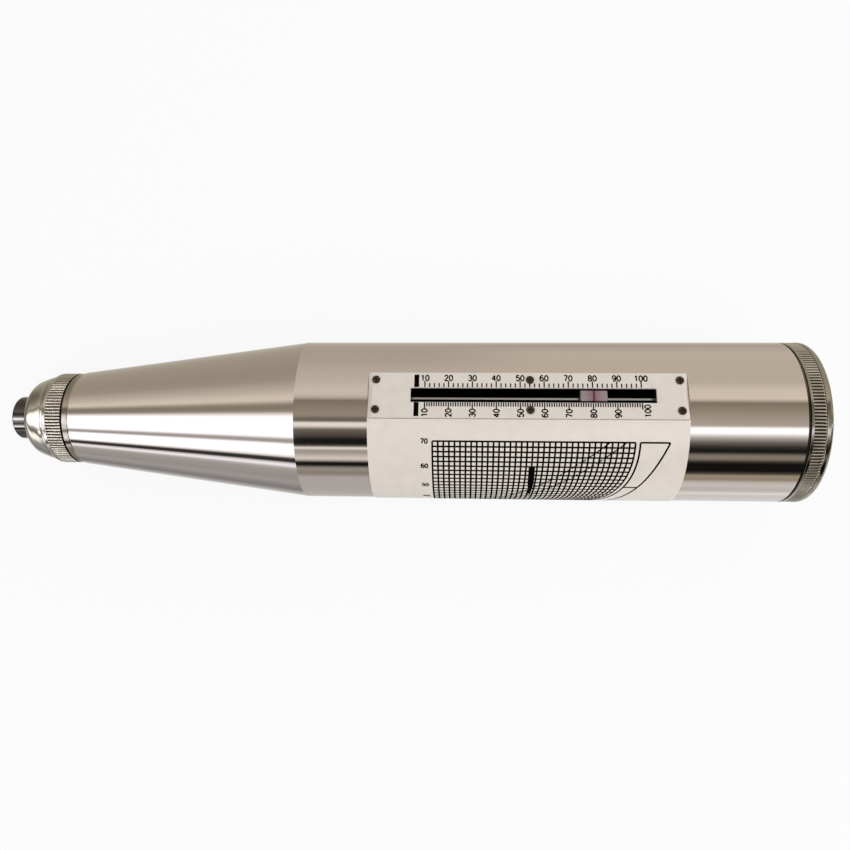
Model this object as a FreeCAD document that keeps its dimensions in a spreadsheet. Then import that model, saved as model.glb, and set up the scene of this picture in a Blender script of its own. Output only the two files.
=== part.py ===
import FreeCAD, Part
import math
import os
import Sketcher
from FreeCAD import Placement, Rotation, Vector

# Rebound hammer for testing concrete, lying on its side with the scale window up.
# X runs along the tool with the plunger at -X, Z is up, and the middle of the length stands over
# the origin. Lengths are in millimetres and angles in degrees.
SIZES = {
    # outer casing
    "tube_radius": 27.0,
    "tube_length": 159.55,
    "tube_wall": 2.5,
    "nose_length": 82.6,
    "nose_radius": 15.95,
    "nose_bore_radius": 14.6,
    "nose_shoulder_depth": 5.0,
    "nose_ring_width": 2.4,
    "cone_start_radius": 16.35,
    "thread_stub_radius": 12.3,
    "thread_stub_length": 8.0,
    "thread_gap": 0.05,
    # nose cap
    "cap_length": 16.45,
    "cap_front_radius": 9.9,
    "cap_front_rounding": 0.5,
    "cap_rounded_radius": 11.3,
    "cap_brow_length": 1.8,
    "cap_brow_radius": 12.7,
    "cap_dome_length": 8.75,
    "cap_dome_radius": 15.25,
    "cap_groove_radius": 15.0,
    "cap_bevel_length": 2.3,
    "cap_knurl_length": 5.0,
    "cap_front_wall": 2.5,
    "cap_bore_gap": 0.4,
    # rear cover
    "cover_length": 7.65,
    "cover_stub_radius": 25.15,
    "cover_stub_length": 8.0,
    "cover_stub_wall": 3.15,
    "cover_chamfer": 1.5,
    "cover_recess_radius": 8.0,
    "cover_recess_depth": 3.4,
    "cover_boss_radius": 6.0,
    "cover_boss_length": 5.0,
    # plunger and its guide
    "plunger_radius": 7.5,
    "plunger_proud": 6.95,
    "plunger_length": 96.5,
    "plunger_tip_curve": 25.0,
    "plunger_tip_chamfer": 0.5,
    "plunger_bore_depth": 32.0,
    "plunger_stroke": 75.0,
    "running_gap": 0.05,
    "sleeve_neck_radius": 10.9,
    "sleeve_lip_radius": 10.5,
    "sleeve_lip_length": 1.2,
    "sleeve_groove_radius": 9.6,
    "sleeve_flange_radius": 14.2,
    "sleeve_flange_length": 2.0,
    "sleeve_boss_length": 10.0,
    "split_ring_thickness": 1.8,
    "split_ring_radius": 12.0,
    "split_ring_gap_angle": 4.0,
    "felt_radius": 10.5,
    "felt_gap": 0.1,
    "felt_bore_gap": 0.3,
    # impact spring and hammer mass
    "impact_wire_radius": 1.2,
    "impact_coil_radius": 12.95,
    "impact_pitch": 6.0,
    "spring_seat_gap": 0.1,
    "mass_gap": 0.3,
    "mass_neck_length": 12.0,
    "mass_radius": 19.5,
    "mass_body_length": 32.6,
    "mass_chamfer": 1.0,
    "mass_tail_radius": 6.8,
    "mass_tail_length": 7.0,
    "mass_catch_radius": 9.0,
    "mass_catch_length": 4.0,
    # guide bar, buffer spring and guide disk
    "bar_radius": 3.5,
    "bar_in_plunger": 15.9,
    "bar_chamfer": 0.6,
    "buffer_wire_radius": 0.4,
    "buffer_coil_radius": 2.8,
    "buffer_pitch": 4.4,
    "disk_gap": 1.2,
    "disk_thickness": 7.0,
    "disk_bore_gap": 0.1,
    "rider_notch_width": 7.0,
    "rider_notch_floor": 17.5,
    "latch_notch_width": 5.0,
    "latch_notch_floor": 21.8,
    # pawl
    "pawl_pivot_depth": 3.5,
    "pawl_pivot_offset": 10.0,
    "pawl_thickness": 4.0,
    "pawl_boss_radius": 2.7,
    "pawl_pin_radius": 1.25,
    "pawl_pin_length": 18.0,
    "pawl_slot_inner": 6.8,
    "pawl_slot_outer": 13.9,
    "pawl_slot_side_gap": 0.2,
    "pawl_spring_room": 1.8,
    "pawl_arm_reach": 11.9,
    "pawl_arm_inner": 10.7,
    "pawl_arm_outer": 13.1,
    "pawl_nose_length": 2.8,
    "pawl_nose_gap": 0.35,
    "pawl_tail_gap": 0.5,
    "pawl_tail_thickness": 3.0,
    "pawl_tail_end": 1.5,
    "pawl_wire_radius": 0.3,
    "pawl_pitch": 0.9,
    "pawl_coil_gap": 0.25,
    # return spring, trip screw and its lock nut
    "return_wire_radius": 0.7,
    "return_coil_radius": 16.0,
    "return_pitch": 6.0,
    "trip_screw_radius": 3.0,
    "trip_screw_gap": 0.3,
    "trip_screw_chamfer": 0.8,
    "trip_screw_inset": 0.6,
    "trip_slot_width": 1.0,
    "trip_slot_depth": 1.2,
    "nut_across_flats": 10.0,
    "nut_thickness": 2.6,
    # scale panel and its screws
    "panel_start": 23.6,
    "panel_length": 100.0,
    "panel_width": 15.2,
    "panel_thickness": 0.8,
    "panel_corner_radius": 0.9,
    "flat_height": 25.85,
    "slot_start": 37.2,
    "slot_length": 76.6,
    "slot_width": 4.8,
    "screw_inset": 2.5,
    "screw_middle": 51.15,
    "screw_spacing": 9.96,
    "screw_head_radius": 1.3,
    "screw_head_height": 0.45,
    "screw_shank_radius": 0.75,
    # chart label round the tube
    "label_thickness": 0.2,
    "label_glue": 0.05,
    "label_start_angle": 16.8,
    "label_angle": 96.0,
    # rider on its rod
    "scale_zero": 34.2,
    "scale_unit": 0.75,
    "rider_reading": 80.5,
    "opening_width": 7.2,
    "rod_radius": 0.8,
    "rod_height": 22.55,
    "holder_length": 4.5,
    "holder_width": 6.0,
    "holder_bottom": 20.9,
    "holder_end_gap": 0.4,
    "rider_length": 8.4,
    "rider_width": 3.5,
    "rider_bottom": 20.3,
    "rider_top": 26.35,
    "leaf_thickness": 0.4,
    "leaf_width": 3.0,
    "leaf_offset": 1.2,
    "leaf_foot_length": 3.6,
    "leaf_tip": 18.2,
    # push button
    "button_angle": 140.0,
    "button_centre_gap": 7.0,
    "button_radius": 4.8,
    "button_top": 29.9,
    "button_head_height": 1.8,
    "button_chamfer": 0.6,
    "button_stem_radius": 2.6,
    "bush_radius": 6.2,
    "bush_bore_gap": 0.1,
    "bush_top": 27.8,
    "bush_floor": 25.3,
    "button_wire_radius": 0.25,
    "button_coil_radius": 3.6,
    "button_pitch": 1.5,
    "latch_top": 24.25,
    "latch_thickness": 2.2,
    "latch_width": 4.0,
    "latch_front_reach": 4.0,
    "latch_disk_gap": 0.3,
}


class Size:
    """A number together with the spreadsheet formula that it comes from."""

    def __init__(self, value, formula):
        self.value = value
        self.formula = formula

    def __add__(self, other):
        other = as_size(other)
        return Size(self.value + other.value, f"({self.formula} + {other.formula})")

    def __sub__(self, other):
        other = as_size(other)
        return Size(self.value - other.value, f"({self.formula} - {other.formula})")

    def __mul__(self, other):
        other = as_size(other)
        return Size(self.value * other.value, f"({self.formula} * {other.formula})")

    def __truediv__(self, other):
        other = as_size(other)
        return Size(self.value / other.value, f"({self.formula} / {other.formula})")

    def __neg__(self):
        return Size(-self.value, f"(0 - {self.formula})")


def as_size(number):
    """Plain numbers become sizes, so both kinds can stand in one formula."""
    return number if isinstance(number, Size) else Size(float(number), str(number))


def root(size):
    """Square root of a size, as a size."""
    return Size(math.sqrt(size.value), f"sqrt({size.formula})")


class Sizes:
    """The driving dimensions by name."""

    def __init__(self, sheet, table):
        for row, (name, number) in enumerate(table.items(), start=1):
            sheet.set(f"A{row}", name)
            sheet.set(f"B{row}", str(number))
            sheet.setAlias(f"B{row}", name)
            setattr(self, name, Size(number, f"{sheet.Name}.{name}"))


doc = FreeCAD.newDocument("rebound_hammer")
sheet = doc.addObject("Spreadsheet::Sheet", "Sizes")
d = Sizes(sheet, SIZES)
doc.recompute()

# Stations along the tool, counted from the middle of its length.
overall = d.plunger_proud + d.cap_length + d.nose_length + d.tube_length + d.cover_length
x_tip = -(overall / 2)
x_cap = x_tip + d.plunger_proud
x_seam = x_cap + d.cap_length
x_tube = x_seam + d.nose_length
x_rear = x_tube + d.tube_length
x_end = x_rear + d.cover_length
x_plunger_end = x_tip + d.plunger_length
x_mass = x_plunger_end + d.mass_gap
mass_length = d.mass_neck_length + d.mass_body_length + d.mass_tail_length + d.mass_catch_length
x_disk = x_mass + mass_length + d.plunger_stroke + d.disk_gap
x_disk_back = x_disk + d.disk_thickness
x_zero = x_tube + d.scale_zero
x_panel = x_tube + d.panel_start
tube_bore = d.tube_radius - d.tube_wall
panel_top = d.flat_height + d.panel_thickness
plunger_bore = d.bar_radius + d.running_gap
mass_neck_radius = d.impact_coil_radius - d.impact_wire_radius - d.spring_seat_gap
sleeve_front = x_seam - d.thread_stub_length - d.split_ring_thickness - d.sleeve_lip_length


def bind(item, path, size):
    """Ties a property of an object to the spreadsheet."""
    item.setExpression(path, as_size(size).formula)


def place(item, x=0, y=0, height=None, turn=None):
    """Puts a sub-part at its station on the tool's axis, turned about that axis."""
    height = d.tube_radius if height is None else height
    angle = as_size(0 if turn is None else turn)
    base = Vector(as_size(x).value, as_size(y).value, as_size(height).value)
    item.Placement = Placement(base, Rotation(Vector(1, 0, 0), angle.value))
    bind(item, "Placement.Base.x", x)
    bind(item, "Placement.Base.y", y)
    bind(item, "Placement.Base.z", height)
    if turn is not None:
        bind(item, "Placement.Rotation.Angle", turn)


def new_body(name, **where):
    """An empty body with its own label and place."""
    body = doc.addObject("PartDesign::Body", name)
    body.Label = name
    place(body, **where)
    return body


def new_sketch(body, role, name, lift=None):
    """A sketch on one of the body's own planes, lifted off it if asked."""
    sketch = body.newObject("Sketcher::SketchObject", name)
    plane = [f for f in body.Origin.OriginFeatures if f.Role == role][0]
    sketch.AttachmentSupport = [(plane, "")]
    sketch.MapMode = "FlatFace"
    if lift is not None:
        sketch.AttachmentOffset = Placement(Vector(0, 0, as_size(lift).value), Rotation())
        bind(sketch, "AttachmentOffset.Base.z", lift)
    return sketch


def hold(sketch, kind, edge, point, size):
    """A driving distance from the sketch's origin to a point of an edge."""
    size = as_size(size)
    number = sketch.addConstraint(Sketcher.Constraint(kind, -1, 1, edge, point, size.value))
    sketch.setExpression(f"Constraints[{number}]", size.formula)


def draw(sketch, corners):
    """A closed outline through corners (across, up). A third value is the radius of the arc that
    leads to the next corner, turning right on the way round."""
    points = [(as_size(c[0]), as_size(c[1])) for c in corners]
    first = sketch.GeometryCount
    count = len(corners)
    ends = []
    for i, corner in enumerate(corners):
        a = Vector(points[i][0].value, points[i][1].value, 0)
        b = Vector(points[(i + 1) % count][0].value, points[(i + 1) % count][1].value, 0)
        if len(corner) == 3:
            radius = as_size(corner[2])
            chord = b - a
            drop = math.sqrt(radius.value**2 - (chord.Length / 2) ** 2)
            side = Vector(chord.y, -chord.x, 0).normalize()
            centre = (a + b) / 2 + side * drop
            start = math.atan2(b.y - centre.y, b.x - centre.x)
            stop = math.atan2(a.y - centre.y, a.x - centre.x)
            circle = Part.Circle(centre, Vector(0, 0, 1), radius.value)
            edge = sketch.addGeometry(Part.ArcOfCircle(circle, start, stop))
            number = sketch.addConstraint(Sketcher.Constraint("Radius", edge, radius.value))
            sketch.setExpression(f"Constraints[{number}]", radius.formula)
            ends.append((2, 1))
        else:
            sketch.addGeometry(Part.LineSegment(a, b))
            ends.append((1, 2))
    for i in range(count):
        after = (i + 1) % count
        joint = Sketcher.Constraint("Coincident", first + i, ends[i][1], first + after, ends[after][0])
        sketch.addConstraint(joint)
        hold(sketch, "DistanceX", first + i, ends[i][0], points[i][0])
        hold(sketch, "DistanceY", first + i, ends[i][0], points[i][1])


def draw_circle(sketch, across, up, radius):
    """A circle at (across, up)."""
    across, up, radius = as_size(across), as_size(up), as_size(radius)
    centre = Vector(across.value, up.value, 0)
    edge = sketch.addGeometry(Part.Circle(centre, Vector(0, 0, 1), radius.value))
    hold(sketch, "DistanceX", edge, 3, across)
    hold(sketch, "DistanceY", edge, 3, up)
    number = sketch.addConstraint(Sketcher.Constraint("Radius", edge, radius.value))
    sketch.setExpression(f"Constraints[{number}]", radius.formula)


def box_corners(left, right, bottom, top):
    """Corners of a rectangle."""
    return [(left, bottom), (left, top), (right, top), (right, bottom)]


def turned(name, corners, axis="H_Axis", angle=None, **where):
    """A piece turned from an outline of (along, radius), or (radius, height) about V_Axis."""
    body = new_body(name, **where)
    sketch = new_sketch(body, "XZ_Plane", name + "_outline")
    draw(sketch, corners)
    turn = body.newObject("PartDesign::Revolution", name + "_turn")
    turn.Profile = sketch
    turn.ReferenceAxis = (sketch, [axis])
    turn.Angle = 360
    if angle is not None:
        turn.Midplane = True
        bind(turn, "Angle", angle)
    body.Tip = turn
    return body


def padded(name, corners, thickness, role="XY_Plane", **where):
    """A flat piece cut from an outline, as thick either side of its plane."""
    body = new_body(name, **where)
    sketch = new_sketch(body, role, name + "_outline")
    draw(sketch, corners)
    pad = body.newObject("PartDesign::Pad", name + "_pad")
    pad.Profile = sketch
    pad.Midplane = True
    bind(pad, "Length", thickness)
    body.Tip = pad
    return body


def pocket(body, sketch, length, name, both=False):
    """Cuts a sketch out of the body. On an XY plane it cuts upwards, or both ways."""
    doc.recompute()
    before = body.Shape.Volume
    cut = body.newObject("PartDesign::Pocket", name)
    cut.Profile = sketch
    bind(cut, "Length", length)
    cut.Midplane = both
    cut.Reversed = not both
    body.Tip = cut
    doc.recompute()
    assert body.Shape.Volume < before - 1e-3, name
    return cut


def ring_of_corners(across, up, radius, count):
    """Corners of a regular outline, turning right on the way round."""
    steps = [math.radians(-360 / count * k) for k in range(count)]
    return [(across + radius * math.cos(step), up + radius * math.sin(step)) for step in steps]


def coil(name, wire, radius, pitch, length, axis="H_Axis", **where):
    """A spring: wire carried round the axis, from seat to seat. The wire is four-sided, so that a
    long spring keeps few faces."""
    body = new_body(name, **where)
    sketch = new_sketch(body, "XZ_Plane", name + "_wire")
    if axis == "H_Axis":
        draw(sketch, ring_of_corners(wire, radius, wire, 4))
    else:
        draw(sketch, ring_of_corners(radius, wire, wire, 4))
    doc.recompute()
    helix = body.newObject("PartDesign::AdditiveHelix", name + "_coil")
    helix.Profile = sketch
    helix.ReferenceAxis = (sketch, [axis])
    helix.Mode = 0
    helix.Pitch = as_size(pitch).value
    helix.Height = (length - wire * 2).value
    bind(helix, "Pitch", pitch)
    bind(helix, "Height", length - wire * 2)
    body.Tip = helix
    return body


# Casing: one turned steel shell. A threaded stub for the nose cap, a cone, and a parallel tube.
x_stub = x_seam - d.thread_stub_length
ring_end = d.thread_stub_length + d.nose_ring_width
cone_end = d.thread_stub_length + d.nose_length
tube_end = cone_end + d.tube_length
shoulder = d.thread_stub_length + d.nose_shoulder_depth
cover_seat = tube_end - d.cover_stub_length
stub_bore = d.sleeve_neck_radius + d.thread_gap
housing = turned("housing", [
    (0, stub_bore),
    (0, d.thread_stub_radius),
    (d.thread_stub_length, d.thread_stub_radius),
    (d.thread_stub_length, d.nose_radius),
    (ring_end, d.nose_radius),
    (ring_end, d.cone_start_radius),
    (cone_end, d.tube_radius),
    (tube_end, d.tube_radius),
    (tube_end, d.cover_stub_radius + d.thread_gap),
    (cover_seat, d.cover_stub_radius + d.thread_gap),
    (cover_seat, tube_bore),
    (cone_end, tube_bore),
    (shoulder, d.nose_bore_radius),
    (shoulder, stub_bore),
], x=x_stub)

# The flat under the scale panel, the opening for the rider, and the screw holes through the flat.
panel_local = x_panel - x_stub
slot_local = x_tube + d.slot_start - x_stub
opening_start = slot_local - d.holder_length - d.holder_end_gap * 2
opening_end = slot_local + d.slot_length + d.holder_length + d.holder_end_gap * 2
screw_places = [d.screw_inset, d.screw_middle, d.panel_length - d.screw_inset]
hole_radius = d.screw_shank_radius + d.running_gap
flat = new_sketch(housing, "XY_Plane", "flat_outline", lift=d.flat_height)
draw(flat, box_corners(panel_local, panel_local + d.panel_length, -d.tube_radius, d.tube_radius))
pocket(housing, flat, d.tube_radius, "panel_flat")
opening = new_sketch(housing, "XY_Plane", "opening_outline", lift=d.rod_height)
draw(opening, box_corners(opening_start, opening_end, -(d.opening_width / 2), d.opening_width / 2))
pocket(housing, opening, d.tube_radius, "rider_opening")
holes = new_sketch(housing, "XY_Plane", "screw_hole_outline", lift=d.rod_height)
for along in screw_places:
    for side in (-1, 1):
        centre = d.screw_spacing / 2 * side
        draw(holes, ring_of_corners(panel_local + along, centre, hole_radius, 6))
pocket(housing, holes, d.tube_radius, "screw_holes")

# The stepped hole for the push button, square to the tube on the side away from the chart.
x_latch_end = x_disk - d.latch_disk_gap
x_button = x_latch_end - d.button_centre_gap
stem_bore = d.button_stem_radius + d.running_gap


def radial_cut(name, radius, height):
    """A round hole from the given distance off the axis outwards, at the button's angle."""
    doc.recompute()
    before = housing.Shape.Volume
    cut = housing.newObject("PartDesign::SubtractiveCylinder", name)
    turn = Rotation(Vector(1, 0, 0), -d.button_angle.value)
    along = x_button - x_stub
    cut.Placement = Placement(Vector(along.value, 0, 0) + turn.multVec(Vector(0, 0, height.value)), turn)
    bind(cut, "Placement.Base.x", along)
    bind(cut, "Placement.Base.y", height * Size(math.sin(math.radians(d.button_angle.value)),
                                                f"sin({d.button_angle.formula})"))
    bind(cut, "Placement.Base.z", height * Size(math.cos(math.radians(d.button_angle.value)),
                                                f"cos({d.button_angle.formula})"))
    bind(cut, "Placement.Rotation.Angle", -d.button_angle)
    bind(cut, "Radius", radius)
    bind(cut, "Height", d.tube_radius)
    housing.Tip = cut
    doc.recompute()
    assert housing.Shape.Volume < before - 1e-3, name


radial_cut("bush_hole", d.bush_radius, d.bush_floor)
radial_cut("stem_hole", stem_bore, d.bush_floor - d.tube_wall)

# Nose cap: a steel cap turned in steps towards the plunger, with a grip for the fingers at the
# back, screwed on the casing's stub.
cap_knurl_start = d.cap_dome_length + d.cap_bevel_length
cap_knurl_end = cap_knurl_start + d.cap_knurl_length
felt_front = d.cap_front_wall
cap_cavity = sleeve_front - x_cap
cap_bore = d.plunger_radius + d.cap_bore_gap
cap_thread = d.thread_stub_radius + d.thread_gap
turned("nose_cap", [
    (0, cap_bore),
    (0, d.cap_front_radius),
    (d.cap_front_rounding, d.cap_rounded_radius),
    (d.cap_brow_length, d.cap_brow_radius),
    (d.cap_dome_length, d.cap_dome_radius),
    (cap_knurl_start, d.nose_radius),
    (cap_knurl_end, d.nose_radius),
    (cap_knurl_end, d.cap_groove_radius),
    (d.cap_length, d.cap_groove_radius),
    (d.cap_length, cap_thread),
    (cap_cavity, cap_thread),
    (cap_cavity, d.felt_radius + d.felt_gap),
    (felt_front, d.felt_radius + d.felt_gap),
    (felt_front, cap_bore),
], x=x_cap)

# Felt washer: keeps dust off the plunger, held between the cap and the guide sleeve.
felt_length = cap_cavity - d.cap_front_wall - d.felt_gap
felt_bore = d.plunger_radius + d.felt_bore_gap
turned("felt_washer", box_corners(0, felt_length, felt_bore, d.felt_radius), x=x_cap + d.cap_front_wall)

# Split ring: two half rings in the sleeve's groove, bearing on the end of the casing's stub.
ring_bore = d.sleeve_groove_radius + d.running_gap
ring_angle = as_size(180) - d.split_ring_gap_angle
ring_corners = box_corners(0, d.split_ring_thickness, ring_bore, d.split_ring_radius)
for name, turn in (("split_ring_upper", 0), ("split_ring_lower", 180)):
    turned(name, ring_corners, angle=ring_angle, x=x_stub - d.split_ring_thickness, turn=turn)

# Guide sleeve: guides the plunger and carries the front end of the impact spring on its boss.
sleeve_groove = d.sleeve_lip_length + d.split_ring_thickness
sleeve_flange = x_stub + shoulder - sleeve_front
sleeve_boss = sleeve_flange + d.sleeve_flange_length
sleeve_end = sleeve_boss + d.sleeve_boss_length
sleeve_bore = d.plunger_radius + d.running_gap
turned("guide_sleeve", [
    (0, sleeve_bore),
    (0, d.sleeve_lip_radius),
    (d.sleeve_lip_length, d.sleeve_lip_radius),
    (d.sleeve_lip_length, d.sleeve_groove_radius),
    (sleeve_groove, d.sleeve_groove_radius),
    (sleeve_groove, d.sleeve_neck_radius),
    (sleeve_flange, d.sleeve_neck_radius),
    (sleeve_flange, d.sleeve_flange_radius),
    (sleeve_boss, d.sleeve_flange_radius),
    (sleeve_boss, mass_neck_radius),
    (sleeve_end, mass_neck_radius),
    (sleeve_end, sleeve_bore),
], x=sleeve_front)

# Impact spring: a tension spring from the sleeve's boss to the neck of the hammer mass.
x_impact = sleeve_front + sleeve_boss
impact_length = x_mass + d.mass_neck_length - x_impact - d.spring_seat_gap
coil("impact_spring", d.impact_wire_radius, d.impact_coil_radius, d.impact_pitch, impact_length, x=x_impact)

# Impact plunger: hardened rod with a ball-shaped end, bored at the back for the guide bar.
tip_edge_radius = d.plunger_radius - d.plunger_tip_chamfer
tip_curve = d.plunger_tip_curve
tip_depth = tip_curve - root(tip_curve * tip_curve - tip_edge_radius * tip_edge_radius)
bore_bottom = d.plunger_length - d.plunger_bore_depth
turned("impact_plunger", [
    (0, 0, tip_curve),
    (tip_depth, tip_edge_radius),
    (tip_depth + d.plunger_tip_chamfer, d.plunger_radius),
    (d.plunger_length, d.plunger_radius),
    (d.plunger_length, plunger_bore),
    (bore_bottom, plunger_bore),
    (bore_bottom, 0),
], x=x_tip)

# Guide bar: joins the plunger to the guide disk, and the hammer mass slides on it.
x_bar = x_plunger_end - d.bar_in_plunger
bar_length = x_disk_back - x_bar
turned("guide_bar", [
    (0, 0),
    (0, d.bar_radius - d.bar_chamfer),
    (d.bar_chamfer, d.bar_radius),
    (bar_length, d.bar_radius),
    (bar_length, 0),
], x=x_bar)

# Buffer spring: sits in the plunger's bore, ahead of the guide bar.
x_buffer = x_tip + bore_bottom
buffer_length = x_bar - x_buffer - d.spring_seat_gap
coil("buffer_spring", d.buffer_wire_radius, d.buffer_coil_radius, d.buffer_pitch, buffer_length, x=x_buffer)

# Hammer mass: the weight that strikes the plunger. Its neck holds the impact spring, its back
# shoulder pushes the rider, and the pawl takes hold of the catch at its end.
mass_bore = d.bar_radius + d.running_gap
body_start = d.mass_neck_length
body_end = body_start + d.mass_body_length
tail_end = body_end + d.mass_tail_length
turned("hammer_mass", [
    (0, mass_bore),
    (0, mass_neck_radius),
    (body_start, mass_neck_radius),
    (body_start, d.mass_radius - d.mass_chamfer),
    (body_start + d.mass_chamfer, d.mass_radius),
    (body_end, d.mass_radius),
    (body_end, d.mass_tail_radius),
    (tail_end, d.mass_tail_radius),
    (tail_end, d.mass_catch_radius),
    (mass_length, d.mass_catch_radius),
    (mass_length, mass_bore),
], x=x_mass)

# Guide disk: slides in the tube, with a notch for the rider, a notch for the button's latch and a
# window for the pawl.
disk_bore = d.bar_radius + d.running_gap
disk_radius = tube_bore - d.disk_bore_gap
disk = turned("guide_disk", [
    (0, disk_bore),
    (0, disk_radius),
    (d.disk_thickness, disk_radius),
    (d.disk_thickness, disk_bore),
], x=x_disk)
notch = new_sketch(disk, "XY_Plane", "rider_notch_outline", lift=d.rider_notch_floor)
half_notch = d.rider_notch_width / 2
draw(notch, box_corners(as_size(-1), d.disk_thickness + 1, -half_notch, half_notch))
pocket(disk, notch, d.tube_radius, "rider_notch")

# The latch notch is cut square to the button's direction.
latch_notch = disk.newObject("PartDesign::SubtractiveBox", "latch_notch")
disk_volume = disk.Shape.Volume
button_sin = Size(math.sin(math.radians(d.button_angle.value)), f"sin({d.button_angle.formula})")
button_cos = Size(math.cos(math.radians(d.button_angle.value)), f"cos({d.button_angle.formula})")
half_latch = d.latch_notch_width / 2
notch_y = d.latch_notch_floor * button_sin - half_latch * button_cos
notch_z = d.latch_notch_floor * button_cos + half_latch * button_sin
latch_turn = Rotation(Vector(1, 0, 0), -d.button_angle.value)
latch_notch.Placement = Placement(Vector(-1, notch_y.value, notch_z.value), latch_turn)
bind(latch_notch, "Placement.Base.y", notch_y)
bind(latch_notch, "Placement.Base.z", notch_z)
bind(latch_notch, "Placement.Rotation.Angle", -d.button_angle)
bind(latch_notch, "Length", d.disk_thickness + 2)
bind(latch_notch, "Width", d.latch_notch_width)
bind(latch_notch, "Height", d.tube_radius)
disk.Tip = latch_notch
doc.recompute()
assert disk.Shape.Volume < disk_volume - 1e-3, "latch_notch"

# The pawl's window goes through the disk on the side of the tool that faces -Y.
pawl_half = d.pawl_thickness / 2
window = new_sketch(disk, "XZ_Plane", "pawl_window_outline", lift=d.pawl_slot_inner)
window_low = -(pawl_half + d.pawl_slot_side_gap)
window_high = pawl_half + d.pawl_spring_room
draw(window, box_corners(as_size(-1), d.disk_thickness + 1, window_low, window_high))
pocket(disk, window, d.pawl_slot_outer - d.pawl_slot_inner, "pawl_window")
pin_hole = new_sketch(disk, "XY_Plane", "pin_hole_outline")
draw_circle(pin_hole, d.pawl_pivot_depth, -d.pawl_pivot_offset, d.pawl_pin_radius)
pocket(disk, pin_hole, d.tube_radius * 2, "pin_hole", both=True)

# Pawl: a lever on a cross pin. Its nose reaches over the catch of the hammer mass, and its tail
# stands before the trip screw, which holds the nose clear while the plunger is in.
x_pivot = x_disk + d.pawl_pivot_depth
nose_tip = d.pawl_pivot_offset - d.mass_catch_radius - d.pawl_nose_gap
arm_inner = d.pawl_pivot_offset - d.pawl_arm_inner
arm_outer = d.pawl_pivot_offset - d.pawl_arm_outer
nose_back = d.pawl_nose_length - d.pawl_arm_reach
tail_front = x_disk_back + d.pawl_tail_gap - x_pivot
tail_back = tail_front + d.pawl_tail_thickness
tail_top = d.pawl_pivot_offset - d.pawl_tail_end
pawl = padded("pawl", [
    (-d.pawl_arm_reach, arm_outer),
    (-d.pawl_arm_reach, nose_tip),
    (nose_back, nose_tip),
    (nose_back, arm_inner),
    (-d.pawl_boss_radius, arm_inner),
    (-d.pawl_boss_radius, d.pawl_boss_radius),
    (tail_front, d.pawl_boss_radius),
    (tail_front, tail_top),
    (tail_back, tail_top),
    (tail_back, arm_outer),
], d.pawl_thickness, x=x_pivot, y=-d.pawl_pivot_offset)
pivot = new_sketch(pawl, "XY_Plane", "pivot_outline")
draw_circle(pivot, 0, 0, d.pawl_pin_radius + d.running_gap)
pocket(pawl, pivot, d.pawl_thickness * 2, "pivot_hole", both=True)
pin_corners = box_corners(0, d.pawl_pin_radius, -(d.pawl_pin_length / 2), d.pawl_pin_length / 2)
turned("pawl_pin", pin_corners, axis="V_Axis", x=x_pivot, y=-d.pawl_pivot_offset)

# Pawl spring: a few turns of wire round the pin, beside the pawl.
pawl_coil_radius = d.pawl_pin_radius + d.pawl_coil_gap + d.pawl_wire_radius
pawl_coil_base = d.tube_radius + pawl_half + d.pawl_slot_side_gap
pawl_coil_length = d.pawl_spring_room - d.pawl_slot_side_gap * 2
coil("pawl_spring", d.pawl_wire_radius, pawl_coil_radius, d.pawl_pitch, pawl_coil_length,
     axis="V_Axis", x=x_pivot, y=-d.pawl_pivot_offset, height=pawl_coil_base)

# Rear cover: a knurled steel cap screwed into the tube, recessed for the lock nut and with a boss
# for the trip screw.
cover_end = d.cover_stub_length + d.cover_length
recess_floor = cover_end - d.cover_recess_depth
screw_bore = d.trip_screw_radius + d.running_gap
boss_end = d.cover_stub_length - d.cover_boss_length
stub_inner = d.cover_stub_radius - d.cover_stub_wall
x_cover = x_rear - d.cover_stub_length
turned("rear_cover", [
    (0, stub_inner),
    (0, d.cover_stub_radius),
    (d.cover_stub_length, d.cover_stub_radius),
    (d.cover_stub_length, d.tube_radius),
    (cover_end - d.cover_chamfer, d.tube_radius),
    (cover_end, d.tube_radius - d.cover_chamfer),
    (cover_end, d.cover_recess_radius),
    (recess_floor, d.cover_recess_radius),
    (recess_floor, screw_bore),
    (boss_end, screw_bore),
    (boss_end, d.cover_boss_radius),
    (d.cover_stub_length, d.cover_boss_radius),
    (d.cover_stub_length, stub_inner),
], x=x_cover)

# Trip screw: sets where the pawl lets go. Its lock nut sits in the cover's recess.
x_trip = x_pivot + tail_back + d.trip_screw_gap
trip_length = x_end - d.trip_screw_inset - x_trip
trip_screw = turned("trip_screw", [
    (0, 0),
    (0, d.trip_screw_radius - d.trip_screw_chamfer),
    (d.trip_screw_chamfer, d.trip_screw_radius),
    (trip_length, d.trip_screw_radius),
    (trip_length, 0),
], x=x_trip)
slot_cut = new_sketch(trip_screw, "XY_Plane", "screw_slot_outline")
half_slot = d.trip_slot_width / 2
draw(slot_cut, box_corners(trip_length - d.trip_slot_depth, trip_length + 1, -half_slot, half_slot))
pocket(trip_screw, slot_cut, d.trip_screw_radius * 3, "screw_slot", both=True)
nut = new_body("trip_screw_nut", x=x_cover + recess_floor)
hexagon = new_sketch(nut, "YZ_Plane", "nut_outline")
corner_radius = d.nut_across_flats / root(as_size(3))
draw(hexagon, ring_of_corners(as_size(0), as_size(0), corner_radius, 6))
draw_circle(hexagon, 0, 0, screw_bore)
nut_pad = nut.newObject("PartDesign::Pad", "nut_pad")
nut_pad.Profile = hexagon
bind(nut_pad, "Length", d.nut_thickness)
nut.Tip = nut_pad

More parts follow.
